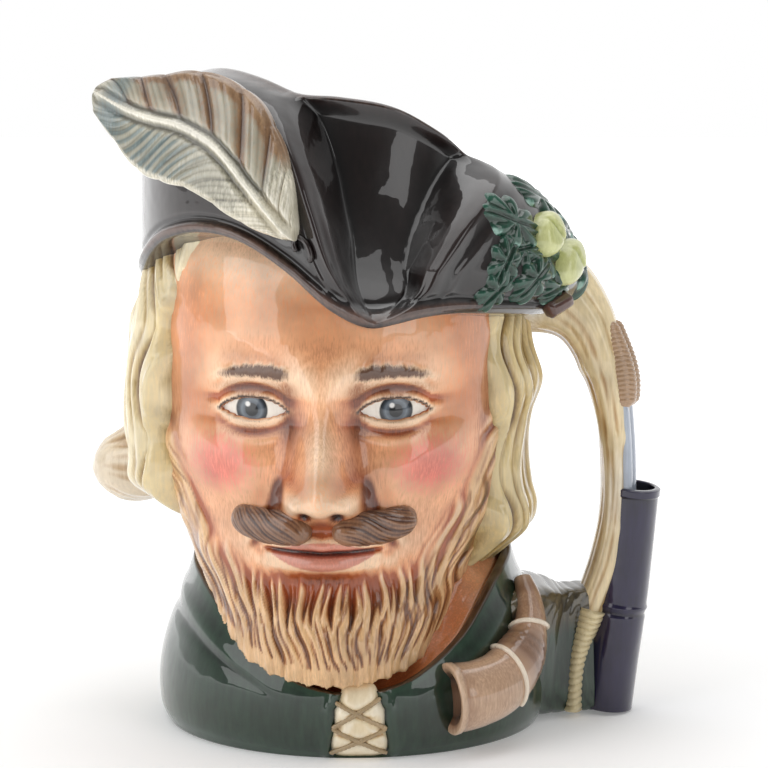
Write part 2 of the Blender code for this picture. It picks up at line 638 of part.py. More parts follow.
def centre(solid, forms):
    """Moves the forms so that the middle of the solid's own box stands over the origin."""
    points = np.array([vertex.co for form in solid for vertex in form.data.vertices])
    middle = 0.5 * (points.min(axis=0) + points.max(axis=0))
    for form in forms:
        form.data.transform(Matrix.Translation((-middle[0], -middle[1], 0.0)))


def helpers(name, forms):
    """A collection of hidden forms that a Boolean joins or cuts with."""
    collection = bpy.data.collections.new(name)
    bpy.context.scene.collection.children.link(collection)
    for form in forms:
        collection.objects.link(form)
        form.hide_render = True
        form.display_type = "WIRE"
    return collection


def combine(jug, operation, collection, solver):
    modifier = jug.modifiers.new(f"{operation.lower()}_{collection.name}", "BOOLEAN")
    modifier.operation = operation
    modifier.solver = solver
    modifier.operand_type = "COLLECTION"
    modifier.collection = collection


def main():
    for old in list(bpy.data.objects):
        bpy.data.objects.remove(old)
    parts = bpy.data.collections.new("toby_jug")
    bpy.context.scene.collection.children.link(parts)
    jug = rolled("jug", 54, 36, head_surface)
    parts.objects.link(jug)
    jug.data.materials.append(glaze())
    carved, hollow = carved_forms(), rolled("hollow", 26, 15, hollow_surface)
    centre([jug, *carved], [jug, *carved, hollow])
    combine(jug, "UNION", helpers("carved_forms", carved), "MANIFOLD")
    combine(jug, "DIFFERENCE", helpers("cutters", [hollow]), "MANIFOLD")


main()
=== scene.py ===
import bpy
import numpy as np
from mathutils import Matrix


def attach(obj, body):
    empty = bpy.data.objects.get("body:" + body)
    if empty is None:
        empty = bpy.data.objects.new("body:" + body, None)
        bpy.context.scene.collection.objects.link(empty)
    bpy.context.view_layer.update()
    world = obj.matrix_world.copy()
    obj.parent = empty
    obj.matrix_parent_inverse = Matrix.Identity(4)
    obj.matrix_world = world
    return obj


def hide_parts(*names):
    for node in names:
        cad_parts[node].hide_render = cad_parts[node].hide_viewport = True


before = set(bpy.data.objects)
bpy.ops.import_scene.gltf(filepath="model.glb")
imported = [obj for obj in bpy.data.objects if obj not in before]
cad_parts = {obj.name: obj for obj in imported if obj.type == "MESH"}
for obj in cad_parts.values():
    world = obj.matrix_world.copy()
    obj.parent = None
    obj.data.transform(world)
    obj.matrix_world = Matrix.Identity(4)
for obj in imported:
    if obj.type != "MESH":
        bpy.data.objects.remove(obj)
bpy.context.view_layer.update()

# Lengths are in millimetres, and the axes are (x, y) places of upright lines
MM = 0.001
MOULD_CENTRE = (5.5405, -3.5921)
HEAD_TURN = np.radians(-3.0)
HEAD_AXIS = (-5.0, 2.0)
HAT_AXIS = (0.0, 2.0)
HOLLOW_AXIS = (0.0, 2.0)
WALL = 4.5
FLOOR = 6.0
LIP = 4.8
FOOT_RING = 7.0
FOOT_RECESS = 1.5
COLLAR_GAP = 3.0
GLAZE = 0.6
COVER = GLAZE + 0.4
COAT_AXIS = (0.0, 0.0)
ALONG_Y = (0, 1, 0)
STRAP_FACING = (0.6, -0.8, 0.1)
# How far along a curve or a surface its direction is taken
NEAR = 0.01


# Curves and falloffs


def spline(keys, t):
    """A smooth curve through (t, value) keys, held level beyond the first and last."""
    x, y = np.array(keys, float).T
    slope = np.gradient(y, x)
    t = np.clip(t, x[0], x[-1])
    i = np.clip(np.searchsorted(x, t) - 1, 0, len(x) - 2)
    h = x[i + 1] - x[i]
    s = (t - x[i]) / h
    return (
        (1 + 2 * s) * (1 - s) ** 2 * y[i]
        + s * (1 - s) ** 2 * h * slope[i]
        + s**2 * (3 - 2 * s) * y[i + 1]
        + s**2 * (s - 1) * h * slope[i + 1]
    )


def round_spline(keys, degrees):
    """A smooth curve through (degrees, value) keys that closes on itself after a full turn."""
    keys = sorted(keys)
    before = [(d - 360.0, value) for d, value in keys]
    after = [(d + 360.0, value) for d, value in keys]
    return spline(before + keys + after, (degrees + 180.0) % 360.0 - 180.0)


def evenly(values, t):
    """A smooth curve through values that are evenly spaced from 0 to 1."""
    return spline(list(zip(np.linspace(0, 1, len(values)), values)), t)


def along_path(path, t):
    """Points on a smooth line through the points of a path, from 0 to 1."""
    return np.stack([evenly(axis, t) for axis in np.array(path, float).T], axis=-1)


def unit(vectors):
    return vectors / np.maximum(np.linalg.norm(vectors, axis=-1, keepdims=True), 1e-9)


def signed_power(x, power):
    return np.sign(x) * np.abs(x) ** power


def bell(x, middle, spread):
    return np.exp(-(((x - middle) / spread) ** 2))


def mounds(table, side, z):
    """The sum of soft mounds. Each has its height, then its middle and its spread, across and then up."""
    return sum(
        height * bell(side, across, wide) * bell(z, up, tall) for height, across, wide, up, tall in table
    )


def step(x, low, high):
    """0 below low, 1 above high, and smooth between."""
    s = np.clip((x - low) / (high - low), 0.0, 1.0)
    return s * s * (3 - 2 * s)


def oval(angle, left, right, front, back):
    """The radius of an oval with four half-widths."""
    across = np.where(np.sin(angle) > 0, right, left)
    along = np.where(np.cos(angle) > 0, front, back)
    return 1.0 / np.sqrt((np.sin(angle) / across) ** 2 + (np.cos(angle) / along) ** 2)


def at_angle(axis, angle, radius, z):
    """Points at a radius from an upright axis."""
    x = axis[0] + radius * np.sin(angle)
    y = axis[1] - radius * np.cos(angle)
    return np.stack(np.broadcast_arrays(x, y, z), axis=-1)


def ridges(phase, sharpness=0.8):
    """Rounded ridges, one for each turn of pi, with narrow grooves between them."""
    return np.abs(np.cos(phase)) ** sharpness


# The head


# Heights of the line of the mouth, the middle of the eyes and the brows
MOUTH, EYES, BROW = 58.5, 97.0, 106.5
EYE_SPACING = 19.5
EYE_HALF_WIDTH = 9.8
BEARD_TIP = (3.5, 19.5)
HEAD_BACK = 46.0
NAPE_DEPTH = 13.0
LOCKS = 12.0
# Brow, socket and eyeball, on which the lids and the eyes lie
EYE_BED = [(1.8, 17, 18, BROW - 1.0, 6.5), (-4.8, EYE_SPACING - 1, 12.5, EYES + 0.5, 8.5),
           (3.8, EYE_SPACING, 9.0, EYES - 0.5, 5.2)]
# Tip, wing, crease and opening of the nose, the groove under it, the lips, the chin and the cheeks
FEATURES = [(1.2, 0, 4.5, 75.5, 4.0), (6.2, 7.9, 3.3, 73.2, 3.6), (-0.9, 11.6, 1.1, 74.0, 4.2),
            (-3.2, 4.4, 1.9, 69.8, 1.4), (-0.6, 0, 1.5, 65.4, 2.6), (3.4, 0, 20, MOUTH + 1.5, 11),
            (2.5, 0, 10.5, MOUTH - 3.1, 2.3), (-0.9, 18.0, 2.0, MOUTH + 0.8, 2.6), (-1.6, 0, 10, 50.5, 2.6),
            (3.0, 31, 12, 86, 9), (1.8, 23, 8, 77, 8), (-1.6, 35, 9, 64, 9)]


def eye_opening(side, z):
    """How far z is above the lower lid and below the upper one, and how far out the point is in the eye."""
    out = (side - EYE_SPACING) / EYE_HALF_WIDTH
    arch = np.clip(1.0 - out**2, 0.0, 1.0)
    return z - (EYES - 2.5 * arch), EYES + 3.7 * arch**0.8 - z, out


def face_relief(x, z):
    """How far the face stands forward of the plain head, at x from its middle line and height z."""
    side = np.abs(x)
    relief = mounds(EYE_BED, side, z) + mounds(FEATURES, side, z)
    above, below, out = eye_opening(side, z)
    upper_lid = 0.9 * bell(below, -0.9, 1.1) - 0.9 * bell(below, -3.6, 0.9) + 0.7 * bell(below, -5.6, 2.0)
    lower_lid = 0.7 * bell(above, -0.8, 0.9) - 0.5 * bell(above, -3.4, 1.1) + 0.4 * bell(above, -5.5, 1.6)
    relief += bell(out, 0.0, 1.05) * (upper_lid + lower_lid)
    relief -= 1.7 * step(above, -0.1, 0.5) * step(below, -0.1, 0.5) * step(1.0 - np.abs(out), 0.0, 0.06)
    brow_line = brow_distance(side, z)
    relief += brow_cover(side, z) * (0.45 + 0.45 * ridges(2.3 * side - 1.9 * brow_line, 1.0))
    ridge = spline(
        [(60, 0), (66, 1.2), (69.0, 7.5), (71.0, 13), (74.5, 16.6), (77.5, 16.4), (81, 14.8), (87, 11.4),
         (92, 8.6), (97, 6.4), (102, 4.8), (108, 2.8), (116, 0.9), (126, 0)],
        z,
    )
    width = spline([(68, 8.0), (75, 8.0), (80, 7.2), (88, 6.4), (96, 6.4), (104, 8.4), (114, 11)], z)
    relief += ridge * np.exp(-((side / width) ** 2.2))
    relief += 1.9 * bell(z, MOUTH + 2.5 + 0.6 * bell(side, 3.5, 2.6), 1.9) * bell(side, 0, 12)
    relief -= 2.4 * bell(z, MOUTH + 0.04 * side, 0.75) * step(-side, -17.5, -14)
    relief -= 0.8 * bell(smile_fold(side, z), 0.0, 1.5) * step(z, 57, 63) * step(-z, -80, -75)
    return relief


def smile_fold(side, z):
    """How far a point lies outside the soft fold that runs from the nose past the mouth."""
    return side - (12.5 + 0.011 * (77.0 - z) ** 2 + 0.22 * (77.0 - z))


def brow_distance(side, z):
    return z - (BROW + 2.0 - 0.013 * (side - 18.0) ** 2)


def brow_cover(side, z):
    """1 on the eyebrows and 0 off them."""
    ends = step(side, 7.0, 12.0) * step(-side, -34.0, -23.0)
    thick = 1.9 - 0.05 * np.abs(side - 14.0)
    return ends * step(thick - np.abs(brow_distance(side, z) + 0.2 * np.sin(side * 1.7)), -1.2, 1.2)


def strand_fan(x, z):
    """The bearing of a point from a place under the beard, from which its locks fan out."""
    lean = np.arctan2(x - BEARD_TIP[0], z + 22.0)
    return lean + 0.012 * np.sin(z / 4.6 + 9.0 * lean) + 0.004 * np.sin(z / 2.2 - 19.0 * lean)


def beard_locks(x, z):
    """The beard's locks and the strands in them, which run down to the tip."""
    fan = strand_fan(x, z)
    locks = 0.9 * ridges(31.0 * fan + 0.7 * np.sin(z / 6.5))
    locks += 0.7 * ridges(83.0 * fan + 0.9 * np.sin(z / 4.7 + 5.0 * fan))
    return locks + 0.35 * ridges(187.0 * fan + 1.1 * np.sin(z / 2.9 - 7.0 * fan))


def beard_cover(x, z):
    """1 on the beard and 0 off it. Its upper edge is broken up into the tips of locks."""
    side = np.abs(x)
    top = spline([(0, 46), (10, 46.5), (20, 49), (29, 55), (36, 66), (42, 82), (48, 98), (60, 112)], side)
    off = np.abs(x - BEARD_TIP[0])
    foot = spline([(0, 19.5), (7, 20.5), (15, 23), (20, 25.5), (29, 33), (37, 43), (43, 54), (47, 68),
                   (54, 88)], off)
    tips = 2.0 * np.sin(83.0 * strand_fan(x, z)) + 1.5 * np.sin(187.0 * strand_fan(x, z) + 1.0)
    foot = foot + 0.9 * np.abs(np.sin(42.0 * strand_fan(x, z)))
    return step(top + tips - z, -5.0, 7.0) * step(z - foot, -1.2, 1.4)


def face_plan(angle, z):
    """The head without its hair: the radius and how much of it is beard."""
    jaw = spline([(5, 38), (32, 37), (40, 37.5), (47, 40), (55, 43), (62, 46.5), (75, 50), (95, 52),
                  (120, 52), (140, 51), (152, 48)], z)
    chin = spline([(5, 43), (25, 42), (34, 45), (42, 50), (52, 53), (75, 53), (100, 54), (120, 55), (135, 52),
                   (152, 43)], z)
    face = oval(angle, jaw, jaw, chin, HEAD_BACK)
    x = face * np.sin(angle)
    cover = beard_cover(x, z)
    beard = spline([(14, 51), (19, 56.5), (24, 59), (32, 59.5), (40, 58), (48, 55.5), (56, 54), (110, 53)], z)
    beard = oval(angle, jaw, jaw, beard - 0.6, HEAD_BACK) + beard_locks(x, z)
    return face + cover * (np.maximum(beard, face + 1.0) - face), cover


def hair_sides(z):
    """The half-widths of the hair at a height: left, right, front and back."""
    return (
        spline([(38, 34), (52, 37), (60, 41), (64, 49), (69, 57), (78, 59), (88, 59.5), (110, 58.5),
                (122, 57), (135, 53), (150, 48)], z),
        spline([(38, 34), (46, 42), (52, 49), (57, 54.5), (63, 56), (70, 54.5), (80, 53.5), (90, 54.5),
                (101, 57.5), (112, 54.5), (122, 53), (140, 50), (150, 46)], z),
        spline([(38, 30), (52, 40), (66, 47), (120, 49), (150, 45)], z),
        spline([(38, 32), (46, 42), (54, 50), (62, 53), (72, 52), (90, 49.5), (110, 50), (130, 49),
                (150, 44)], z),
    )


def hair_sway(angle, z):
    """How far round the head the locks have swayed at a height, in radians."""
    return (0.75 * np.sin(z / 6.2 + 2.0 * angle) + 0.5 * np.sin(z / 11.0 - angle)) / LOCKS


def hair_waves(angle, z):
    """Locks that run down the head in slow waves, with strands in each."""
    sweep = LOCKS * (angle + hair_sway(angle, z))
    locks = 2.2 * ridges(sweep, 1.1)
    locks += 1.1 * ridges(3.0 * sweep + 0.5 * np.sin(z / 8.0 + 3.0 * angle), 1.0)
    locks += 0.4 * ridges(5.0 * sweep + 0.6 * np.sin(z / 7.0 - 2.0 * angle))
    return locks - 0.5


def hair_form(angle, z):
    """The radius of the hair, which dips into the head along the face and under the brim."""
    radius = oval(angle, *hair_sides(z)) + hair_waves(angle, z)
    edge = spline([(40, 60), (60, 62), (75, 60), (95, 58), (115, 55), (135, 47), (150, 40)], z)
    edge = edge + 1.4 * np.sin(z / 6.0) + 0.6 * np.sin(z / 2.6)
    behind = step(np.degrees(np.abs(angle)), edge - 4.5, edge + 5.5)
    return radius - 16.0 * (1.0 - behind) - 3.0 * step(z, 116, 126) * step(-np.cos(angle), -0.3, 0.1)


def turned(x, y, z, lift=0.0):
    """A point of the head in the jug, with the head turned a little, or lifted off its surface."""
    far = 1.0 + lift / np.maximum(np.hypot(x, y), 1.0)
    turn_c, turn_s = np.cos(HEAD_TURN), np.sin(HEAD_TURN)
    across = HEAD_AXIS[0] + (x * turn_c - y * turn_s) * far
    along = HEAD_AXIS[1] + (x * turn_s + y * turn_c) * far
    return np.stack(np.broadcast_arrays(across, along, z), axis=-1)


def on_face(angle, z, lift=0.0):
    """A point of the face, which is tucked in under the hair at the nape."""
    radius, cover = face_plan(angle, z)
    nape = step(-np.cos(angle), 0.0, 0.35) * step(-z, -66, -54)
    radius = radius - NAPE_DEPTH * nape
    front = step(np.cos(angle), 0.25, 0.6) * (1.0 - 0.85 * cover)
    x, y = radius * np.sin(angle), -radius * np.cos(angle)
    return turned(x, y - front * face_relief(x, z), z, lift)


def on_hair(angle, z):
    """A point of the hair, on a line that sways with its locks."""
    swayed = angle
    for _ in range(3):
        swayed = angle - hair_sway(swayed, z)
    radius = hair_form(swayed, z)
    return turned(radius * np.sin(swayed), -radius * np.cos(swayed), z)


# The coat


def coat_plan(angle, z):
    half_width = spline([(0, 55), (3, 56.5), (9, 57.5), (18, 57), (28, 54.5), (38, 50.5), (52, 46)], z)
    half_depth = spline([(0, 51), (3, 53), (9, 54.5), (18, 54.5), (28, 52), (38, 48), (52, 44)], z)
    return oval(angle, half_width, half_width, half_depth, half_depth)


def collar_height(angle):
    return round_spline(
        [(-165, 54), (-120, 53), (-85, 49), (-60, 43), (-35, 31), (-14, 21), (0, 19),
         (14, 21), (35, 31), (60, 45), (85, 51), (120, 53), (165, 54)],
        np.degrees(angle),
    )


# The hat


BRIM_EDGE_HEIGHT = [(-180, 118), (-140, 119), (-110, 124), (-90, 129), (-74, 135), (-53, 144), (-40, 146.5),
                    (-27, 144.5), (-14, 136), (-4, 127), (4, 123), (10, 123.5), (16, 124.5), (26, 125),
                    (40, 124), (61, 122), (85, 120), (115, 118.5), (145, 118)]
BRIM_EDGE_RADIUS = [(-180, 61), (-120, 62), (-90, 61.5), (-74, 62), (-53, 63.5), (-40, 64), (-27, 65),
                    (-14, 66), (-4, 70), (4, 73), (12, 69), (24, 65), (39, 64), (61, 66), (85, 67),
                    (115, 65), (145, 62)]
RIM_HEIGHT = [(-180, 175), (-150, 179), (-120, 184), (-90, 188), (-62, 189.4), (-36, 186.4), (-22, 183),
              (-4, 182), (17, 179), (33, 173), (52, 165), (70, 160.5), (90, 158), (120, 159), (150, 167)]
RIM_RADIUS = [(-180, 47), (-135, 46), (-90, 45), (-60, 42), (-36, 42), (-22, 42), (-4, 43), (17, 44),
              (33, 44), (52, 42), (70, 39), (90, 39), (120, 43), (150, 46)]
FULLNESS = [(-180, 4), (-90, 5), (-40, 4.5), (0, 3.5), (50, 2.8), (85, 2.4), (130, 3)]
TUCK = [(-180, 3), (-90, 0.5), (-40, 0), (10, 1), (50, 5), (85, 8), (130, 6)]
LEFT_FOLD = [(0, 4), (0.16, -2), (0.43, -7.5), (0.66, -12), (0.88, -19), (1, -25)]
RIGHT_FOLD = [(0, 5), (0.05, 12), (0.24, 20), (0.49, 29), (0.75, 40), (1, 52)]
HAT_COLUMNS = 300


def hat_form(angle, t, creased=True):
    """A point on the outside of the hat: t runs from the brim's lower edge, 0, to the rim, 1."""
    degrees = np.degrees(angle)
    low, high = round_spline(BRIM_EDGE_HEIGHT, degrees), round_spline(RIM_HEIGHT, degrees)
    edge, rim = round_spline(BRIM_EDGE_RADIUS, degrees), round_spline(RIM_RADIUS, degrees)
    z = low + (high - low) * t
    within = np.clip(t, 0.0, 1.0)
    full = np.sqrt(1.0 - within ** round_spline(FULLNESS, degrees))
    tuck = round_spline(TUCK, degrees) * np.clip(1.0 - t / 0.25, 0.0, 1.0) ** 2
    brim = rim + (edge - rim) * full - tuck
    crown = rim + (edge - rim) * (1 - within) ** 2.4 - 2.0 * step(t, 0.3, 0.9) * (1 - step(t, 0.9, 1.0))
    left = spline(LEFT_FOLD, t)
    right = spline(RIGHT_FOLD, t)
    width = 2.5 + 5.0 * step(t, 0.0, 0.4)
    panel = step(degrees - left, -0.3 * width, width) * step(right - degrees, -0.3 * width, width)
    rolled = 1.2 * (bell(degrees, left - 1.5, 2.6) + bell(degrees, right + 1.5, 2.6)) * step(t, 0.02, 0.2)
    radius = brim + rolled * (1 - t) + (np.minimum(crown, brim) - brim - rolled * (1 - t)) * panel
    if creased:
        radius = radius + hat_creases(degrees, t, left, right)
    return radius, z


def hat_creases(degrees, t, left, right):
    """The rolled edge of the brim, and the fine creases that run down its folds to the peak."""
    turned_edge = 1.1 * bell(t, 0.035, 0.030) - 0.7 * bell(t, 0.085, 0.022)
    along = step(t, 0.03, 0.12) * (1.0 - 0.6 * t)
    spread = 0.45 + 0.75 * t
    left_creases = 0.9 * bell(degrees, left + 1.6, spread) - 0.8 * bell(degrees, left - 0.2, spread)
    left_creases += 0.6 * bell(degrees, left - 5.5 - 3.0 * t, 1.4 * spread)
    right_creases = 0.9 * bell(degrees, right - 1.0, spread) - 0.5 * bell(degrees, right - 3.4, spread)
    right_creases += 0.5 * bell(degrees, right + 7.0 + 4.0 * t, 2.4 * spread)
    return turned_edge + along * (left_creases + right_creases)


def hat_angles(u, t):
    """Angles round the hat at height t, in columns that follow its two folds from the rim to the peak."""
    left, right = spline(LEFT_FOLD, t), spline(RIGHT_FOLD, t)
    width = 2.5 + 5.0 * step(t, 0.0, 0.4)
    middle = 0.5 * (left + right)
    columns = [
        (0, -180.0), (92, left - 9.0), (104, left - 1.5), (122, min(left + width, middle - 0.3)),
        (160, max(right - width, middle + 0.3)), (178, right + 1.5), (190, right + 9.0), (HAT_COLUMNS, 180.0),
    ]
    place, degrees = np.array(columns, float).T
    return np.radians(np.interp(u * HAT_COLUMNS, place, degrees))


def on_hat(angle, t, lift):
    """A point lifted off the hat's surface along its normal."""
    here = at_angle(HAT_AXIS, angle, *hat_form(angle, t, False))
    round_it = at_angle(HAT_AXIS, angle + NEAR, *hat_form(angle + NEAR, t, False)) - here
    up_it = at_angle(HAT_AXIS, angle, *hat_form(angle, t + NEAR, False)) - here
    return here + unit(np.cross(round_it, up_it)) * np.asarray(lift)[..., None]


# The hollow inside


def seen_from_axis(points, angles):
    """The radius of a ring of points at the given angles round the hollow's axis."""
    x, y = points[:, 0] - HOLLOW_AXIS[0], points[:, 1] - HOLLOW_AXIS[1]
    around = np.arctan2(x, -y)
    order = np.argsort(around)
    return np.interp(angles, around[order], np.hypot(x, y)[order], period=2 * np.pi)


TABLE_ANGLES = np.linspace(-np.pi, np.pi, 180, endpoint=False)
TABLE_STEP = 1.6
TABLE_LEVELS = np.arange(0.0, 200.0, TABLE_STEP)


def outer_radii():
    """The outside of the coat, head and hat together, a row for each level."""
    angles = TABLE_ANGLES
    neck = COLLAR_GAP + 0.8
    collar = collar_height(angles)
    degrees = np.degrees(angles)
    low, high = round_spline(BRIM_EDGE_HEIGHT, degrees), round_spline(RIM_HEIGHT, degrees)
    rows = []
    for z in TABLE_LEVELS:
        coat = coat_plan(angles, z) - neck * step(z, collar - 8.0, collar - 4.0)
        coat = seen_from_axis(at_angle(COAT_AXIS, angles, coat, z), angles)
        level = np.full(angles.shape, z)
        head = np.maximum(
            seen_from_axis(on_face(angles, level), angles), seen_from_axis(on_hair(angles, level), angles)
        )
        hat = hat_form(angles, np.clip((z - low) / (high - low), 0.0, 1.0), False)[0]
        under_hat = np.maximum(np.where(z < collar - 1.0, coat, 0.0), np.where(z < low + 8.0, head, 0.0))
        rows.append(np.maximum(under_hat, np.where(z > low + 6.0, hat, 0.0)))
    return np.array(rows)


def hollow_table():
    """The inside of the wall: the outside without its fine relief, less the wall."""
    radii = outer_radii()
    smallest = radii.copy()
    for turn in range(-4, 5):
        for rise in range(-3, 4):
            moved = np.roll(radii, turn, axis=1)
            moved = moved[np.clip(np.arange(len(TABLE_LEVELS)) + rise, 0, len(TABLE_LEVELS) - 1)]
            smallest = np.minimum(smallest, moved)
    for _ in range(3):
        smallest = (np.roll(smallest, 1, axis=1) + 2 * smallest + np.roll(smallest, -1, axis=1)) / 4
        smallest[1:-1] = (smallest[:-2] + 2 * smallest[1:-1] + smallest[2:]) / 4
    return smallest - WALL


HOLLOW = hollow_table()


def hollow_radius(angle, z):
    """The radius of the hollow about its own axis."""
    column = (angle + np.pi) / (2 * np.pi) * len(TABLE_ANGLES)
    row = np.clip(z / TABLE_STEP, 0, len(TABLE_LEVELS) - 1.001)
    i, j = np.floor(row).astype(int), np.floor(column).astype(int)
    a, b = row - i, column - j
    j, k = j % len(TABLE_ANGLES), (j + 1) % len(TABLE_ANGLES)
    radius = (1 - a) * ((1 - b) * HOLLOW[i, j] + b * HOLLOW[i, k])
    radius = radius + a * ((1 - b) * HOLLOW[i + 1, j] + b * HOLLOW[i + 1, k])
    radius = radius - 7.0 * (1 - step(z, FLOOR - 1.0, FLOOR + 10.0))
    rim, rim_height = round_spline(RIM_RADIUS, np.degrees(angle)), round_spline(RIM_HEIGHT, np.degrees(angle))
    return radius + (rim - LIP - radius) * step(z, rim_height - 12.0, rim_height - 4.0)


def in_wall(points, cover):
    """Pushes points out of the hollow, so that they stay at least cover outside it."""
    x, y = points[..., 0] - HOLLOW_AXIS[0], points[..., 1] - HOLLOW_AXIS[1]
    radius = np.maximum(np.hypot(x, y), 1e-6)
    least = hollow_radius(np.arctan2(x, -y), points[..., 2]) + cover
    grow = np.maximum(least / radius, 1.0)
    moved = points.copy()
    moved[..., 0] = HOLLOW_AXIS[0] + x * grow
    moved[..., 1] = HOLLOW_AXIS[1] + y * grow
    return moved


# Making a piece


def carved(name, columns, rows, form, finish, joined=False, grain=0.35, masks=None):
    """A grid of clay rolled into a closed form, as it would come out of its mould.

    form(u, v) places it in millimetres: u goes round and v along. Its ends are capped flat, or joined
    to each other. Each point keeps its relief, from 0 in a groove to 1 on a ridge, for the paint.
    """
    total = rows if joined else rows + 2
    bpy.ops.object.select_all(action="DESELECT")
    bpy.ops.mesh.primitive_grid_add(x_subdivisions=columns, y_subdivisions=total, size=1.0)
    piece = bpy.context.object
    piece.name = piece.data.name = name
    mesh = piece.data
    flat = np.empty(len(mesh.vertices) * 3)
    mesh.vertices.foreach_get("co", flat)
    flat = flat.reshape(-1, 3)[:, :2] + 0.5
    ring = np.round(flat[:, 1] * total).astype(int)
    u = np.round(flat[:, 0] * columns) / columns
    v = ring / rows if joined else np.clip((ring - 1) / rows, 0.0, 1.0)
    points = form(u, np.where(v > 0.999999, 0.0, v) if joined else v)
    order = np.lexsort((u, ring))
    relief = np.empty(len(points))
    relief[order] = relief_of(points[order].reshape(total + 1, columns + 1, 3), joined, grain)
    if not joined:
        for end in (0, total):
            points[ring == end] = points[ring == end][1:].mean(axis=0)
    values = {"relief": relief}
    if masks:
        values.update(masks(u, v))
    for key, value in values.items():
        attribute = mesh.attributes.new(key, "FLOAT", "POINT")
        attribute.data.foreach_set("value", np.broadcast_to(value, u.shape).astype(np.float32))
    placed = (points - np.array([*MOULD_CENTRE, 0.0])) * MM
    mesh.vertices.foreach_set("co", placed.ravel())
    mesh.update()
    bpy.ops.object.mode_set(mode="EDIT")
    bpy.ops.mesh.select_all(action="SELECT")
    bpy.ops.mesh.remove_doubles(threshold=2e-6)
    bpy.ops.mesh.dissolve_degenerate(threshold=1e-6)
    bpy.ops.mesh.normals_make_consistent(inside=False)
    bpy.ops.object.mode_set(mode="OBJECT")
    bpy.ops.object.shade_smooth()
    mesh.materials.append(finish)
    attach(piece, "root")
    return piece


def relief_of(sheet, joined, grain):
    """How far each point of the sheet stands out from the points near it, from 0 to 1."""
    loop = sheet[:, :-1]
    rows = np.arange(len(loop))

    def along(shift):
        if joined:
            return loop[(rows + shift) % (len(loop) - 1)]
        return loop[np.clip(rows + shift, 0, len(loop) - 1)]

    normal = unit(np.cross(np.roll(loop, -1, axis=1) - np.roll(loop, 1, axis=1), along(1) - along(-1)))
    middle = loop.reshape(-1, 3).mean(axis=0)
    if ((loop - middle) * normal).sum() < 0:
        normal = -normal
    proud = np.zeros(loop.shape[:2])
    for far in (2, 4, 8):
        around = (np.roll(loop, far, axis=1) + np.roll(loop, -far, axis=1) + along(far) + along(-far)) / 4
        proud += ((loop - around) * normal).sum(axis=-1) / far**0.5
    relief = np.clip(0.5 + proud / (3.0 * grain), 0.0, 1.0)
    return np.concatenate([relief, relief[:, :1]], axis=1).ravel()


def ringed(rings, v):
    """A surface through rings of points, evenly spaced in v."""
    place = v * (len(rings) - 1)
    low = np.clip(np.floor(place).astype(int), 0, len(rings) - 2)
    part = (place - low)[:, None]
    pick = np.arange(len(v))
    rings = np.array(rings)
    return rings[low, pick] * (1 - part) + rings[low + 1, pick] * part


def rod(path, widths, depths, sideways, u, v, place=None, share=None, power=1.0, ridge=None):
    """A rod along a path of points, with an oval section, or a rounded box where power is under 1.

    place and share say, for each v, how far along the path it is and how much of its section is left.
    ridge is what it stands proud by, as a share of its section.
    """
    place = v if place is None else place
    share = np.ones_like(v) if share is None else share
    ahead, behind = (along_path(path, np.clip(place + move, 0, 1)) for move in (NEAR, -NEAR))
    along = unit(ahead - behind)
    side = unit(np.cross(along, np.array(sideways, float)))
    third = np.cross(side, along)
    a, b = signed_power(np.cos(2 * np.pi * u), power), signed_power(np.sin(2 * np.pi * u), power)
    grow = share * (1.0 if ridge is None else 1.0 + ridge)
    across = side * (0.5 * evenly(widths, place) * a * grow)[:, None]
    deep = third * (0.5 * evenly(depths, place) * b * grow)[:, None]
    return along_path(path, place) + across + deep


def rounded(v, share=0.08):
    """How much of a rod's section is left near its two rounded ends."""
    return np.sqrt(np.clip(1 - (1 - np.clip(np.minimum(v, 1 - v) / share, 0, 1)) ** 2, 0, 1))


def strung(name, path, width, depth, finish, columns=24, rows=80, facing=STRAP_FACING, end=0.03,
           grain=0.2, ridge=None):
    """A thin cord of one section along a path. ridge(u, v) is its twist."""

    def form(u, v):
        twist = None if ridge is None else ridge(u, v)
        return rod(path, [width] * 2, [depth] * 2, facing, u, v, share=rounded(v, end), ridge=twist)

    carved(name, columns, rows, form, finish, grain=grain)


def laid(host, outline, rise, sink, u, v, relief=None):
    """A pad on a surface: u goes round its outline, and v from the middle of its top to that of its back."""
    out = np.sin(np.pi * v)
    a, b = outline(2 * np.pi * u)
    rim = -0.4 * sink
    height = np.where(v <= 0.5, rim + (rise - rim) * (1 - out**6), rim - (sink + rim) * (1 - out**2))
    if relief is not None:
        height = height + np.where(v <= 0.5, relief(a * out, b * out) * (1 - out**10), 0.0)
    return host(a * out, b * out, height)


# The finish


def paint(code):
    """A painter's colour, given as sRGB hex, in linear light."""
    channels = np.array([int(code[i : i + 2], 16) for i in (1, 3, 5)]) / 255.0
    linear = np.where(channels <= 0.04045, channels / 12.92, ((channels + 0.055) / 1.055) ** 2.4)
    return (*linear, 1.0)


def add(tree, kind, inputs=None, stops=None, **settings):
    """Adds a node with its settings, its inputs as values or links, and the stops of a colour ramp."""
    node = tree.nodes.new("ShaderNode" + kind)
    for key, value in settings.items():
        setattr(node, key, value)
    for key, value in (inputs or {}).items():
        if isinstance(value, bpy.types.NodeSocket):
            tree.links.new(value, node.inputs[key])
        else:
            node.inputs[key].default_value = value
    if stops:
        ramp = node.color_ramp
        while len(ramp.elements) < len(stops):
            ramp.elements.new(0.5)
        for element, (place, colour) in zip(ramp.elements, stops):
            element.position = place
            element.color = colour
    return node


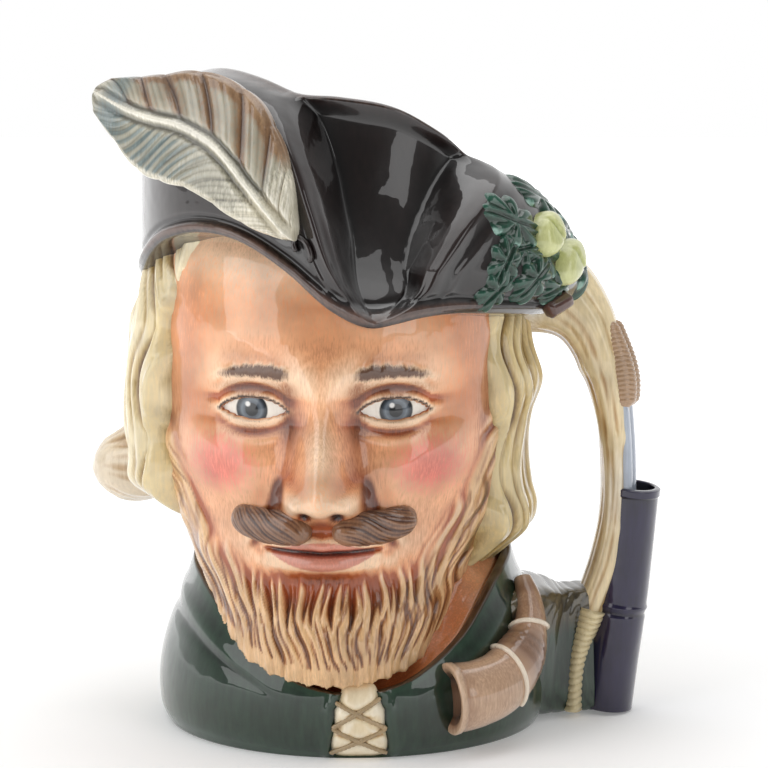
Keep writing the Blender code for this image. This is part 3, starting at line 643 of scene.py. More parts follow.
# Millimetres across the uneven patches of the paint, and across the slow ripple of the glaze
CLOUD, PULL = 11.0, 6.0
BARE_CLAY = {"Roughness": 0.35, "IOR": 1.5, "Specular IOR Level": 0.25}
CLEAR_GLAZE = {"Coat Weight": 1.0, "Coat Roughness": 0.03, "Coat IOR": 1.52}


def glazed(name, layers, strokes=(0.7, 5.0), contrast=0.16, hatch=1.2, ripple=0.05, tooth=0.0):
    """Earthenware painted under a clear glaze.

    A layer is (mask, groove, body, ridge): paint pools darker in the grooves and wears thin on the
    ridges. The first layer covers all, and each later one covers what its mask says. Strokes gives the
    width and the length of the brush's marks in millimetres, and hatch how far they break up a layer's
    edge. The glaze pulls a slow ripple into what it reflects, and tooth is the fine relief it doesn't fill.
    """
    material = bpy.data.materials.new("glazed_earthenware_" + name)
    material.use_nodes = True
    tree = material.node_tree
    shader = tree.nodes["Principled BSDF"]
    place = add(tree, "TexCoord").outputs["Object"]
    width, length = strokes
    drawn = add(tree, "Mapping", {"Vector": place, "Scale": (1.0, 1.0, width / length)}).outputs["Vector"]
    bristle = {"Vector": drawn, "Scale": 1.0 / (width * MM), "Detail": 3.0, "Roughness": 0.6}
    bristle = add(tree, "TexNoise", bristle).outputs["Fac"]
    cloud = {"Vector": place, "Scale": 1.0 / (CLOUD * MM), "Detail": 3.0}
    cloud = add(tree, "TexNoise", cloud).outputs["Fac"]
    relief = add(tree, "Attribute", attribute_name="relief").outputs["Fac"]
    uneven = add(tree, "Math", {0: bristle, 1: 0.5}, operation="SUBTRACT").outputs[0]
    loose = {0: uneven, 1: 0.30, 2: relief}
    loose = add(tree, "Math", loose, operation="MULTIPLY_ADD", use_clamp=True).outputs[0]
    colour = None
    for mask, groove, body, ridge in layers:
        stops = [(0.15, paint(groove)), (0.5, paint(body)), (0.85, paint(ridge))]
        coat = add(tree, "ValToRGB", {"Fac": loose}, stops=stops).outputs["Color"]
        if colour is None:
            colour = coat
            continue
        shape = add(tree, "Attribute", attribute_name=mask).outputs["Fac"]
        part = add(tree, "Math", {0: shape, 1: 0.5}, operation="SUBTRACT").outputs[0]
        part = add(tree, "Math", {0: part, 1: 1.7, 2: 0.5}, operation="MULTIPLY_ADD").outputs[0]
        part = {0: uneven, 1: hatch, 2: part}
        part = add(tree, "Math", part, operation="MULTIPLY_ADD", use_clamp=True).outputs[0]
        whole = add(tree, "Math", {0: shape, 1: 3.0}, operation="MULTIPLY", use_clamp=True).outputs[0]
        part = add(tree, "Math", {0: part, 1: whole}, operation="MULTIPLY").outputs[0]
        colour = add(tree, "Mix", {"Factor": part, 6: colour, 7: coat}, data_type="RGBA").outputs[2]
    value = {0: uneven, 1: contrast * 2.0, 2: 1.0}
    value = add(tree, "Math", value, operation="MULTIPLY_ADD").outputs[0]
    low, high = 1.0 - 0.5 * contrast, 1.0 + 0.5 * contrast
    tone = {"Value": cloud, "From Min": 0.3, "From Max": 0.7, "To Min": low, "To Max": high}
    tone = add(tree, "MapRange", tone).outputs["Result"]
    value = add(tree, "Math", {0: value, 1: tone}, operation="MULTIPLY").outputs[0]
    shade = add(tree, "HueSaturation", {"Value": value, "Color": colour}).outputs["Color"]
    tree.links.new(shade, shader.inputs["Base Color"])
    pulled = {"Vector": place, "Scale": 1.0 / (PULL * MM), "Detail": 1.0}
    pulled = add(tree, "TexNoise", pulled).outputs["Fac"]
    skin = add(tree, "Bump", {"Height": pulled, "Distance": ripple * MM, "Strength": 1.0}).outputs["Normal"]
    under = skin
    if tooth:
        under = {"Height": bristle, "Distance": tooth * MM, "Strength": 1.0, "Normal": skin}
        under = add(tree, "Bump", under).outputs["Normal"]
    tree.links.new(under, shader.inputs["Normal"])
    tree.links.new(skin, shader.inputs["Coat Normal"])
    for key, setting in {**BARE_CLAY, **CLEAR_GLAZE}.items():
        shader.inputs[key].default_value = setting
    return material


# Clear glaze over a flesh-coloured body: matt brush strokes seen through a wet-looking skin
SKIN = glazed(
    "flesh",
    [
        (None, "#ab5830", "#e6a577", "#f8d2ae"),
        ("warm", "#984822", "#c87644", "#e5a274"),
        ("blush", "#ae4034", "#d46552", "#e8917c"),
        ("shade", "#67331c", "#8c5230", "#b0754c"),
        ("lips", "#8a4030", "#b5614b", "#d08a75"),
        ("beard", "#734424", "#b27c4d", "#dfb585"),
        ("strands", "#4a2b19", "#784d2f", "#a2734c"),
        ("brow", "#25140d", "#3d2519", "#644430"),
        ("dark", "#231512", "#33211c", "#443027"),
    ],
    strokes=(0.5, 3.5),
    contrast=0.34,
    hatch=2.2,
    ripple=0.13,
    tooth=0.03,
)
# Thin washes that pool in the grooves of the carving, under the same glaze: dark lines, pale ridges. The
# darker layer is olive paint on one side and painted shade along the cheek
HAIR = glazed(
    "fair_hair",
    [(None, "#6f4d27", "#b89d68", "#eadbb6"), ("olive", "#664a22", "#ad9056", "#dac491")],
    strokes=(0.8, 12.0),
    contrast=0.28,
)
CURL = glazed("curl", [(None, "#8b6d4a", "#c3a682", "#e6d6bd")], strokes=(0.9, 7.0), contrast=0.2)
MOUSTACHE = glazed("moustache", [(None, "#2a160f", "#573524", "#8a6347")], strokes=(0.5, 2.5), contrast=0.3)
# Iron-brown glaze, so deep that only its edges and its reflections show
HAT = glazed(
    "hat",
    [(None, "#080505", "#120b0a", "#211614"), ("thin", "#20140f", "#3a2822", "#5c463d")],
    strokes=(1.6, 9.0),
    contrast=0.25,
    ripple=0.16,
)
# Copper-green glaze, nearly black where it lies thick, and bare cream clay under the foot
COAT = glazed(
    "coat",
    [(None, "#06120c", "#0e2216", "#243c2c"), ("band", "#120b06", "#24160c", "#3d2a19"),
     ("foot", "#b9ab98", "#d8cdbd", "#e8dfd2")],
    strokes=(2.0, 9.0),
    contrast=0.30,
    ripple=0.10,
)
LINING = glazed("lining", [(None, "#d8cfbd", "#efe8da", "#f7f2e8")], strokes=(3.0, 9.0), contrast=0.05)
FEATHER = glazed(
    "feather",
    [
        (None, "#5f5c50", "#928e7d", "#bdb8a7"),
        ("brown", "#4c3626", "#775a40", "#9c7f61"),
        ("blue", "#4b5755", "#6f7b79", "#959e9b"),
        ("cream", "#978e78", "#c4bda8", "#e4dfd0"),
    ],
    strokes=(0.6, 3.0),
    contrast=0.26,
    hatch=1.8,
)
LEAF = glazed(
    "leaf",
    [(None, "#051810", "#0d3021", "#235040"), ("tip", "#2a574a", "#538373", "#86aa9d")],
    strokes=(0.9, 4.0),
    contrast=0.30,
    hatch=1.8,
)
FRUIT = glazed("fruit", [(None, "#7d8740", "#adb268", "#cfd198")], strokes=(1.0, 4.0), contrast=0.14)
STALK = glazed("stalk", [(None, "#170b09", "#2e1915", "#553a32")], strokes=(0.8, 3.0), contrast=0.25)
SHIRT = glazed("shirt", [(None, "#c19a6a", "#e8d3aa", "#f7ead0")], strokes=(1.2, 5.0), contrast=0.10)
LACE = glazed("lace", [(None, "#4e3b2a", "#7d6548", "#a8906c")], strokes=(0.5, 1.5), contrast=0.3)
# Horn-coloured paint. Its darker layer is hatched bands and the narrow end, and painted shade inside the
# bell's shallow mouth
HORN = glazed(
    "horn",
    [(None, "#6b4631", "#a37c60", "#cdae92"), ("worn", "#3f291c", "#6f4e38", "#94725a")],
    strokes=(0.6, 4.0),
    contrast=0.22,
)
STRAP = glazed("strap", [(None, "#a98468", "#d9c0a2", "#efe0cb")], strokes=(0.6, 2.0), contrast=0.15)
# Wood-coloured paint. Its pale layer is painted highlight
WOOD = glazed(
    "bow",
    [(None, "#73532f", "#b8935f", "#e3cfa6"), ("pale", "#b39a76", "#dccdb0", "#f3ebdc")],
    strokes=(1.1, 12.0),
    contrast=0.26,
)
CORD = glazed("cord", [(None, "#7a5f38", "#b69c6b", "#dccba0")], strokes=(0.6, 2.0), contrast=0.15)
FLETCHING = glazed("fletching", [(None, "#4e3523", "#7c5a3e", "#a9896a")], strokes=(0.5, 3.0), contrast=0.25)
SHAFT = glazed("shaft", [(None, "#4f5768", "#7d879a", "#a9b1be")], strokes=(0.6, 8.0), contrast=0.2)
# Cobalt glaze, laid on so thick that it is nearly black
QUIVER = glazed(
    "quiver", [(None, "#05030f", "#0b071d", "#1c1538")], strokes=(1.5, 9.0), contrast=0.3, ripple=0.16
)
TURF = glazed(
    "turf",
    [(None, "#1d180e", "#3a3322", "#5f553e"), ("green", "#0c1a10", "#1b2d20", "#3c5040")],
    strokes=(1.0, 8.0),
    contrast=0.35,
)


# Face, hair and neck


def head_angles(u):
    """Angles round the head, closer together on the face than at the back."""
    s = 2.0 * u - 1.0
    return np.pi * (0.36 * s + 0.64 * s**3)


def face_height(share):
    return spline([(0, 14), (0.02, 17), (0.27, 52), (0.86, 118), (1, 152)], share)


def inner_wall(angle, z):
    """The piece's own inner side, in the thickness of the jug's wall."""
    return at_angle(HOLLOW_AXIS, angle, hollow_radius(angle, z) + GLAZE, z)


OUTER_SHARE = 0.88


def shell(outer, angle, height, low, high, v):
    """A piece that goes round the wall: up its outside, then down its inside to where it began."""
    share = v / OUTER_SHARE
    outside = in_wall(outer(angle, height(np.clip(share, 0, 1))), COVER)
    back = (v - OUTER_SHARE) / (1.0 - OUTER_SHARE)
    inside = inner_wall(angle, high + (low - high) * np.clip(back, 0.04, 0.96))
    return np.where((v <= OUTER_SHARE)[:, None], outside, inside)


# Where the face is painted darker: round the eyes and the nose, under the lips, and along the hair
SHADES = [(0.9, EYE_SPACING, 11, EYES + 6.2, 2.4), (0.6, EYE_SPACING, 10, EYES - 5.5, 2.2),
          (0.75, 9.5, 2.6, 96, 9), (0.8, 12.0, 1.7, 74, 5), (0.7, 46, 5, 88, 26), (0.5, 0, 11, 50.5, 2.4),
          (0.6, 0, 9, 67.5, 1.8)]
# Where it is painted warmer: the temples, the cheekbones, and the sides and the tip of the nose
WARMTH = [(0.75, 41, 9, 105, 26), (0.4, 30, 6, 90, 6), (0.5, 17, 4, 70, 8), (0.5, 0, 8, 78, 7)]


def face_masks(u, v):
    angle, z = head_angles(u), face_height(np.clip(v / OUTER_SHARE, 0, 1))
    radius, cover = face_plan(angle, z)
    x = radius * np.sin(angle)
    side = np.abs(x)
    front = np.cos(angle) > 0.25
    above, below, out = eye_opening(side, z)
    near = step(1.12 - np.abs(out), 0.0, 0.12)
    lash = near * (bell(below, -0.35, 0.55) + 0.35 * bell(above, -0.3, 0.4))
    lash += bell(np.hypot(side - 4.4, z - 69.8), 0, 2.0)
    lash += 0.8 * bell(z, MOUTH + 0.04 * side, 0.5) * step(-side, -16.5, -13)
    lower, upper = MOUTH - 5.4 + 0.021 * side**2, MOUTH + 4.0 - 0.016 * side**2
    lips = step(z, lower, lower + 1.0) * step(-z, -upper, 1.0 - upper) * step(-side, -16, -13)
    hollow = mounds(SHADES, side, z)
    hollow += 0.65 * bell(smile_fold(side, z), 0.3, 1.8) * step(z, 56, 62) * step(-z, -81, -76)
    hollow += 0.35 * step(side, 8, 14) * bell(z, BROW + 5.5, 3.0) * step(-side, -34, -26)
    warm = mounds(WARMTH, side, z) + 0.55 * bell(z, 128, 13) + 0.5 * bell(z, 46, 9) + step(-z, -32, -24)
    fan = strand_fan(x, z)
    strokes = cover * step(ridges(67.0 * fan + 1.3 * np.sin(z / 4.1), 1.0), 0.72, 0.25)
    strokes *= step(z, 26, 44) * (0.5 + 0.5 * np.sin(23.0 * fan + z / 6.0))
    return {
        "beard": cover * step(np.cos(angle), -0.1, 0.2),
        "strands": 0.9 * strokes,
        "blush": front * 0.95 * bell(side, 29, 10.5) * bell(z, 82, 8.5),
        "shade": front * np.clip(hollow, 0, 0.85) * (1 - cover),
        "warm": np.clip(warm, 0, 0.8) * (1 - cover),
        "lips": front * lips,
        "brow": front * brow_cover(side, z),
        "dark": front * np.clip(lash, 0, 1),
    }


def make_face():
    face = carved(
        "face",
        400,
        240,
        lambda u, v: shell(on_face, head_angles(u), face_height, 14.0, 152.0, v),
        SKIN,
        joined=True,
        grain=0.30,
        masks=face_masks,
    )
    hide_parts("jug")


def hair_angles(u):
    """Angles round the head that are closer together at the back and the sides than on the face."""
    s = 2.0 * u - 1.0
    return np.pi * (1.42 * s - 0.42 * s * np.abs(s))


def hair_height(share):
    return spline([(0, 40), (0.9, 135), (1, 151)], share)


def hair_shade(angle):
    """Where the hair is painted darker: olive paint on the handle's side, and painted shade along the cheek
    on the other, where the hair meets the face.
    """
    return 0.75 * step(np.sin(angle), 0.1, 0.8) + 0.65 * bell(np.degrees(angle), -63.0, 10.0)


def make_hair():
    carved(
        "hair",
        480,
        200,
        lambda u, v: shell(on_hair, hair_angles(u), hair_height, 40.0, 151.0, v),
        HAIR,
        joined=True,
        grain=0.55,
        masks=lambda u, v: {"olive": hair_shade(hair_angles(u))},
    )


CURL_PATH = [(-46, 22, 80), (-56, 23, 75), (-66, 22, 71), (-74, 20, 70), (-79, 19, 69.5)]


def make_curl():
    """The end of the hair behind, which flicks out past the left cheek."""

    def form(u, v):
        turns = 2 * np.pi * u
        ridge = 0.030 * np.cos(6 * turns + 9.0 * v) + 0.014 * np.cos(19 * turns + 14.0 * v)
        return rod(CURL_PATH, [22, 25, 24, 17, 6], [24, 26, 24, 16, 6], ALONG_Y, u, v,
                   share=rounded(v, 0.1), ridge=ridge * np.sin(np.pi * v))

    carved("curl", 120, 60, form, CURL, grain=0.3)


def eye_finish():
    """White of the eye, a grey-blue iris with a dark rim, the pupil and a painted highlight on it, all
    painted under the glaze.
    """
    material = glazed("eye", [(None, "#c9b8a6", "#efe6da", "#fbf6ee")], contrast=0.04)
    tree = material.node_tree
    shader = tree.nodes["Principled BSDF"]
    plain = shader.inputs["Base Color"].links[0].from_socket
    iris = add(tree, "Attribute", attribute_name="iris").outputs["Fac"]
    stops = [
        (0.0, paint("#08090c")), (0.38, paint("#0c0e12")), (0.44, paint("#4a525b")), (0.64, paint("#6c757e")),
        (0.80, paint("#2b323b")), (0.92, paint("#0e1116")),
    ]
    rings = add(tree, "ValToRGB", {"Fac": iris}, stops=stops).outputs["Color"]
    inside = {"Value": iris, "From Min": 0.96, "From Max": 1.04, "To Min": 1.0, "To Max": 0.0}
    inside = add(tree, "MapRange", inside).outputs["Result"]
    seen = add(tree, "Mix", {"Factor": inside, 6: plain, 7: rings}, data_type="RGBA").outputs[2]
    # A painted highlight: a white spot that stands in for a reflection in the eye
    spot = add(tree, "Attribute", attribute_name="spot").outputs["Fac"]
    lit = add(tree, "Mix", {"Factor": spot, 6: seen, 7: paint("#f4f2ee")}, data_type="RGBA").outputs[2]
    tree.links.new(lit, shader.inputs["Base Color"])
    return material


IRIS_RADIUS = 4.3


def make_eyes():
    finish = eye_finish()
    for side, name in ((-1, "eye_right"), (1, "eye_left")):

        def host(a, b, height):
            x, z = side * EYE_SPACING + a, EYES + 0.5 + b
            angle = np.arcsin(np.clip(x / 52.6, -1, 1))
            radius = oval(angle, 52.0, 52.0, spline([(75, 53), (100, 54), (120, 55)], z), HEAD_BACK)
            forward = mounds(EYE_BED, np.abs(x), z) + height
            return turned(radius * np.sin(angle), -radius * np.cos(angle) - forward, z)

        def outline(turn):
            return 11.0 * np.cos(turn), 5.0 * np.sin(turn) * np.abs(np.sin(turn)) ** 0.35

        def cornea(a, b):
            return 0.35 * bell(np.hypot(a, b), 0, IRIS_RADIUS)

        def form(u, v):
            return laid(host, outline, -0.55, 3.0, u, v, cornea)

        def masks(u, v):
            a, b = outline(2 * np.pi * u)
            out = np.sin(np.pi * v)
            away = np.hypot(a * out, b * out + 0.2) / IRIS_RADIUS
            # Where the painted highlight lies, up and to one side of the iris
            spot = bell(np.hypot(a * out + 1.1, b * out - 1.3), 0, 0.75)
            return {"iris": np.clip(away, 0, 2) * 0.96, "spot": 0.95 * step(spot, 0.25, 0.6)}

        carved(name, 96, 90, form, finish, grain=2.0, masks=masks)


# Along the moustache: degrees from the middle of the face, height, and how far it stands off the lip
MOUSTACHE_PATH = [(3.0, 63.6, 0.3), (9.5, 65.3, 0.8), (16.5, 65.5, 0.9), (23.0, 66.6, 0.8), (28.5, 68.8, 0.5)]


def make_moustache():
    degrees, z, lift = np.array(MOUSTACHE_PATH).T
    for side, name in ((-1, "moustache_right"), (1, "moustache_left")):
        path = on_face(side * np.radians(degrees), z, lift)

        def form(u, v):
            turns = 2 * np.pi * u
            ridge = 0.030 * np.cos(7.0 * turns + 26.0 * v)
            ridge += 0.022 * np.cos(19.0 * turns + 70.0 * v + np.sin(14.0 * v))
            return rod(path, [6.6, 9.2, 9.4, 8.6, 6.0], [6, 7.2, 6.8, 6, 4.6], ALONG_Y, u, v,
                       share=rounded(v, 0.14), ridge=ridge * np.sin(np.pi * v) ** 0.3)

        carved(name, 120, 90, form, MOUSTACHE, grain=0.22)


def make_neck():
    """The neck between the collar and the beard."""

    def form(u, v):
        angle = 2 * np.pi * (u - 0.5)
        top = collar_height(angle)
        edge = coat_plan(angle, top)
        steps = ((0.4, -7.0), (0.4, -3.0), (1.2, -1.6), (3.5, -0.4), (7.0, 2.0), (11.0, 5.5), (15.0, 9.5))
        rings = [
            in_wall(at_angle(COAT_AXIS, angle, edge - COLLAR_GAP - inward, top + up), COVER)
            for inward, up in steps
        ]
        rings.append(inner_wall(angle, top + 6.0))
        rings.append(inner_wall(angle, top - 4.0))
        rings.append(rings[0])
        return ringed(rings, v)

    def masks(u, v):
        bare = dict.fromkeys(("blush", "lips", "beard", "strands", "brow", "dark"), 0.0)
        return {"warm": 0.85, "shade": 0.55 * step(-v, -0.22, -0.05), **bare}

    carved("neck", 160, 63, form, SKIN, joined=True, grain=0.6, masks=masks)


# Coat, shirt front and laces


SHIRT_ANGLE = np.radians(2.4)
SHIRT_RADIUS = 54.0
SHIRT_MIDDLE, SHIRT_HALF_HEIGHT = 11.1, 10.9
SQUARISH = 0.35
# Rings of points on the coat under its foot, over its collar and inside the wall
FOOT_RINGS, COLLAR_RINGS, INNER_RINGS = 4, 6, 3


def shirt_half_width(z):
    return spline([(0, 8.6), (6, 8.0), (9.5, 7.2), (14, 7.2), (18, 5.6), (22, 5.2)], z)


def make_coat():
    shares = np.concatenate([np.linspace(0.0, 0.12, 10), np.linspace(0.15, 0.96, 62), [0.98, 0.995]])

    def form(u, v):
        angle = 2 * np.pi * (u - 0.5)
        top = collar_height(angle)

        def side(share):
            z = share * top
            seam = np.abs((angle - SHIRT_ANGLE) * SHIRT_RADIUS) - shirt_half_width(z)
            edge = 0.9 * bell(seam, 1.2, 0.9)
            edge -= 1.3 * step(-seam, -0.6, 0.6) * step(-np.abs(angle), -0.5, -0.4)
            fold = 0.5 * bell(share, 0.80, 0.05) - 0.4 * bell(share, 0.70, 0.04)
            proud = edge + fold * step(np.abs(angle), 0.35, 0.8)
            return coat_plan(angle, z) + proud * step(share, 0.0, 0.05), z

        foot = coat_plan(angle, 0.0)
        rings = [
            (foot - FOOT_RING - FOOT_RECESS, FOOT_RECESS + 0.0 * foot),
            (foot - FOOT_RING - 0.2, 0.2 + 0.0 * foot),
            (foot - FOOT_RING + 0.2, 0.0 * foot),
            (foot - 0.3, 0.0 * foot),
        ]
        rings += [side(share) for share in shares]
        edge = coat_plan(angle, top)
        for inward, up in ((0.3, -0.02), (0.9, 0.12), (COLLAR_GAP - 0.8, 0.1), (COLLAR_GAP - 0.2, -0.3),
                           (COLLAR_GAP, -1.2), (COLLAR_GAP + 0.2, -6.0)):
            rings.append((edge - inward, top + up))
        points = [at_angle(COAT_AXIS, angle, radius, z) for radius, z in rings]
        for z in (12.0, FLOOR + 4.0, FLOOR - GLAZE):
            points.append(inner_wall(angle, z + 0.0 * angle))
        points[-1] = at_angle(HOLLOW_AXIS, angle, 20.0, FLOOR - GLAZE)
        return ringed(points, v)

    top_ring = FOOT_RINGS + len(shares)
    rows = top_ring + COLLAR_RINGS + INNER_RINGS - 1

    def masks(u, v):
        ring = v * rows
        return {"band": step(ring, top_ring - 3.0, top_ring), "foot": step(-ring, -3.6, -3.2)}

    carved("coat", 300, rows, form, COAT, grain=0.5, masks=masks)


LACE_ENDS = [((-3.96, 16.7), (9.3, 9.5)), ((7.6, 17.8), (-4.9, 9.8)), ((-4.9, 9.2), (9.7, 1.9)),
             ((9.1, 9.1), (-5.8, 2.0))]


def to_lace(x, z, ends):
    """How far a point of the shirt front is from the line of a lace."""
    (x0, z0), (x1, z1) = ends
    long = np.hypot(x1 - x0, z1 - z0)
    return np.abs((x - x0) * (z1 - z0) - (z - z0) * (x1 - x0)) / long


def on_shirt(x, z, lift):
    angle = x / SHIRT_RADIUS
    return at_angle(COAT_AXIS, angle, coat_plan(angle, z) + lift, z)


def make_shirt():
    def outline(turn):
        tall = SHIRT_HALF_HEIGHT * signed_power(np.sin(turn), SQUARISH)
        return shirt_half_width(SHIRT_HALF_HEIGHT + tall) * signed_power(np.cos(turn), SQUARISH), tall

    middle = SHIRT_ANGLE * SHIRT_RADIUS

    def host(a, b, height):
        return on_shirt(middle + a, SHIRT_MIDDLE + b, height)

    def relief(a, b):
        pulled = sum(bell(to_lace(middle + a, SHIRT_MIDDLE + b, ends), 0, 1.0) for ends in LACE_ENDS)
        return -0.7 * np.clip(pulled, 0, 1.2)

    carved("shirt_front", 160, 80, lambda u, v: laid(host, outline, 1.5, 3.0, u, v, relief), SHIRT, grain=0.4)
    for number, ((x0, z0), (x1, z1)) in enumerate(LACE_ENDS):
        steps = np.linspace(-0.04, 1.04, 9)
        bow = np.sin(np.pi * np.clip(steps, 0, 1))
        path = on_shirt(x0 + (x1 - x0) * steps, np.maximum(z0 + (z1 - z0) * steps, 0.8), 0.35 + 0.7 * bow)
        strung(f"lace_{number}", path, 1.3, 1.1, LACE, columns=16, rows=60, facing=ALONG_Y, end=0.05,
               grain=0.15, ridge=lambda u, v: 0.12 * np.cos(2 * np.pi * (2 * u + 14 * v)))


# Hat, feather and spray


# Rings of points on the hat under its brim, over its lip and inside the wall
UNDER_RINGS, LIP_RINGS, HAT_INNER_RINGS = 4, 6, 20


def make_hat():
    climb = [(0.0, 0.16, 34), (0.17, 0.9, 84), (0.91, 0.995, 12)]
    climb = np.concatenate([np.linspace(low, high, count) for low, high, count in climb])

    def form(u, v):
        angle = hat_angles(u, 0.0)
        edge, low = hat_form(angle, 0.0)
        under = ((12.0, 2.0), (4.0, 0.7), (1.6, 0.55), (0.5, 0.35))
        rings = [at_angle(HAT_AXIS, angle, edge - inward, low - down) for inward, down in under]
        for t in climb:
            angle = hat_angles(u, t)
            rings.append(at_angle(HAT_AXIS, angle, *hat_form(angle, t)))
        angle = hat_angles(u, 1.0)
        rim, top = hat_form(angle, 1.0)
        for inward, up in ((0.08, 0.25), (0.25, 0.5), (0.5, 0.6), (0.75, 0.4), (0.93, -0.2), (1.0, -1.2)):
            rings.append(at_angle(HAT_AXIS, angle, rim - inward * LIP, top + up))
        foot = hat_angles(u, 0.0)
        for share in np.linspace(0.04, 1.0, HAT_INNER_RINGS):
            between = angle + (foot - angle) * share
            rings.append(inner_wall(between, top - 3.0 + (low - top) * share))
        rings[0] = in_wall(rings[0], GLAZE)
        rings.append(rings[0])
        return ringed(rings, v)

    top_ring = UNDER_RINGS + len(climb)
    rows = top_ring + LIP_RINGS + HAT_INNER_RINGS

    def masks(u, v):
        ring = v * rows
        t = np.interp(ring, UNDER_RINGS + np.arange(len(climb)), climb)
        degrees = np.degrees(hat_angles(u, 0.0))
        under = bell(t, 0.035, 0.03) * step(-np.abs(degrees + 20), -60, -40)
        lip = bell(ring, top_ring + 2, 4)
        return {"thin": np.clip(0.9 * under + 0.6 * lip, 0, 1)}

    carved("hat", HAT_COLUMNS, rows, form, HAT, joined=True, grain=0.7, masks=masks)


LINING_RINGS = 70


def make_lining():
    """The pale glaze inside, from the lip down to the floor."""

    def form(u, v):
        angle = 2 * np.pi * (u - 0.5)
        top = round_spline(RIM_HEIGHT, np.degrees(angle)) - 1.0
        floor = hollow_radius(angle, FLOOR + 0.0 * angle)
        rings = [at_angle(HOLLOW_AXIS, angle, share * floor, FLOOR + 0.4) for share in (0.1, 0.5, 0.9)]
        for share in np.linspace(0.0, 1.0, LINING_RINGS) ** 1.2:
            z = FLOOR + 0.8 + (top - FLOOR - 0.8) * share
            rings.append(at_angle(HOLLOW_AXIS, angle, hollow_radius(angle, z), z))
        for share in np.linspace(1.0, 0.0, LINING_RINGS):
            z = FLOOR + (top - FLOOR) * share
            rings.append(at_angle(HOLLOW_AXIS, angle, hollow_radius(angle, z) + 0.3, z))
        rings.append(at_angle(HOLLOW_AXIS, angle, 5.0, FLOOR - 0.2))
        return ringed(rings, v)

    carved("lining", 200, 3 + 2 * LINING_RINGS, form, LINING, grain=1.5)


FEATHER_RIB = [(-14.9, -67, 145.5), (-20.8, -65.5, 152.3), (-27, -62.5, 159.8), (-35.5, -57, 169.5),
               (-45.2, -49.5, 174.8), (-54.5, -41, 176.8), (-62.4, -33.5, 179.3), (-71.5, -27, 184.0)]
# From the quill to the tip: the widths of the two vanes, and how deep the back reaches
FEATHER_LOW = [(0, 0.6), (0.12, 5), (0.28, 9.5), (0.45, 14), (0.6, 16), (0.72, 14.5), (0.88, 8.5), (1, 4)]
FEATHER_HIGH = [(0, 0.6), (0.12, 7), (0.28, 13.5), (0.45, 17), (0.6, 16), (0.72, 13), (0.88, 9), (1, 4)]
FEATHER_ROOT = [(0, 5), (0.3, 7), (0.55, 12), (0.75, 20), (0.9, 16), (1, 4)]
FEATHER_LOBES = 8.0


def feather_lean(v, across):
    """The phase of the feather's barbs, which lean towards its tip."""
    return FEATHER_LOBES * np.pi * (v - 0.16 * np.abs(across))


def feather_barbs(v, across):
    """How proud the barbs of the feather stand. On the upper vane they lie in lobes."""
    lean = feather_lean(v, across)
    lobes = np.where(across > 0, ridges(lean, 0.6), 0.35 * ridges(1.4 * lean + 0.7, 0.6))
    return 0.9 * lobes + 0.16 * ridges(4.0 * lean + 1.2 * np.sin(9.0 * v), 0.8)


def feather_section(u):
    """Where a point of the feather's section lies: across the vane, and through it."""
    return np.cos(2 * np.pi * u), np.sin(2 * np.pi * u)


def make_feather():
    def form(u, v):
        rib = along_path(FEATHER_RIB, v)
        across, through = feather_section(u)
        wide = np.where(across > 0, spline(FEATHER_HIGH, v), spline(FEATHER_LOW, v))
        notch = 1 - ridges(feather_lean(v, 1.0), 0.6)
        wide = across * wide * (1.0 - 0.035 * step(np.abs(across), 0.5, 1.0) * notch)
        tilt = spline([(0, 45), (0.4, 55), (0.7, 72), (1, 60)], v)
        up = np.stack([np.cos(np.radians(tilt)), 0.1 + 0 * v, np.sin(np.radians(tilt))], axis=-1)
        out = np.stack([-0.45 + 0 * v, -0.85 + 0.2 * v, 0.2 + 0 * v], axis=-1)
        depth = np.where(through > 0, 1.7, spline(FEATHER_ROOT, v))
        off = np.abs(wide)
        thickness = depth * signed_power(through, 0.6) - 0.12 * off
        quill = 1.3 * bell(off, 0.0, 0.9) * (1.0 - 0.5 * v) - 0.5 * bell(off, 2.2, 0.8)
        vane = feather_barbs(v, across) * step(off, 1.5, 3.0) * step(1 - np.abs(across), 0.0, 0.1)
        thickness = thickness + np.where(through > 0, (quill + vane) * step(through, 0.0, 0.3), 0.0)
        closing = np.clip(np.minimum(v, 1 - v) / 0.04, 0, 1) ** 0.5
        return rib + up * (wide * closing)[:, None] + out * (thickness * closing)[:, None]

    def masks(u, v):
        across, through = feather_section(u)
        lean = feather_lean(v, across)
        gap = 1.0 - ridges(lean, 0.6)
        far = np.abs(across)
        upper = step(across, 0.05, 0.15)
        brown = upper * (0.30 + 0.85 * gap) * step(far, 0.05, 0.25) + upper * 0.9 * step(far, 0.70, 0.92)
        brown = brown * step(v, 0.16, 0.34) * (1.0 - 0.6 * step(v, 0.80, 0.92))
        strokes = ridges(3.0 * lean, 0.8)
        blue = step(-across, 0.1, 0.3) * bell(v, 0.66, 0.22) * (0.35 + 0.6 * step(1 - strokes, 0.1, 0.5))
        blue = blue + 0.7 * bell(v, 0.90, 0.06)
        cream = step(-across, 0.0, 0.1) * (0.75 * step(far, 0.82, 0.98) + 0.45 * step(-v, -0.5, -0.2))
        cream += bell(far, 0.0, 0.06) + 0.9 * (1.0 - step(v, 0.12, 0.30)) + 0.5 * step(-through, 0.0, 0.2)
        return {"brown": np.clip(brown, 0, 1), "blue": np.clip(blue, 0, 1), "cream": np.clip(cream, 0, 1)}

    carved("feather", 240, 260, form, FEATHER, grain=0.3, masks=masks)
    turn = np.linspace(-2.4, 2.4, 9)
    loop = on_hat(np.radians(-10.6 + 2.2 * np.sin(turn)), 0.205 + 0.055 * np.cos(turn), 0.7 + 0.0 * turn)
    strung("quill_loop", loop, 1.5, 1.5, HAT, columns=20, rows=60, facing=(0, 1, 0.2), end=0.05, grain=0.3)


# The hat's rough radius and height, by which millimetres on it become angles and shares of its height
HAT_RADIUS, HAT_RISE = 66.0, 42.0


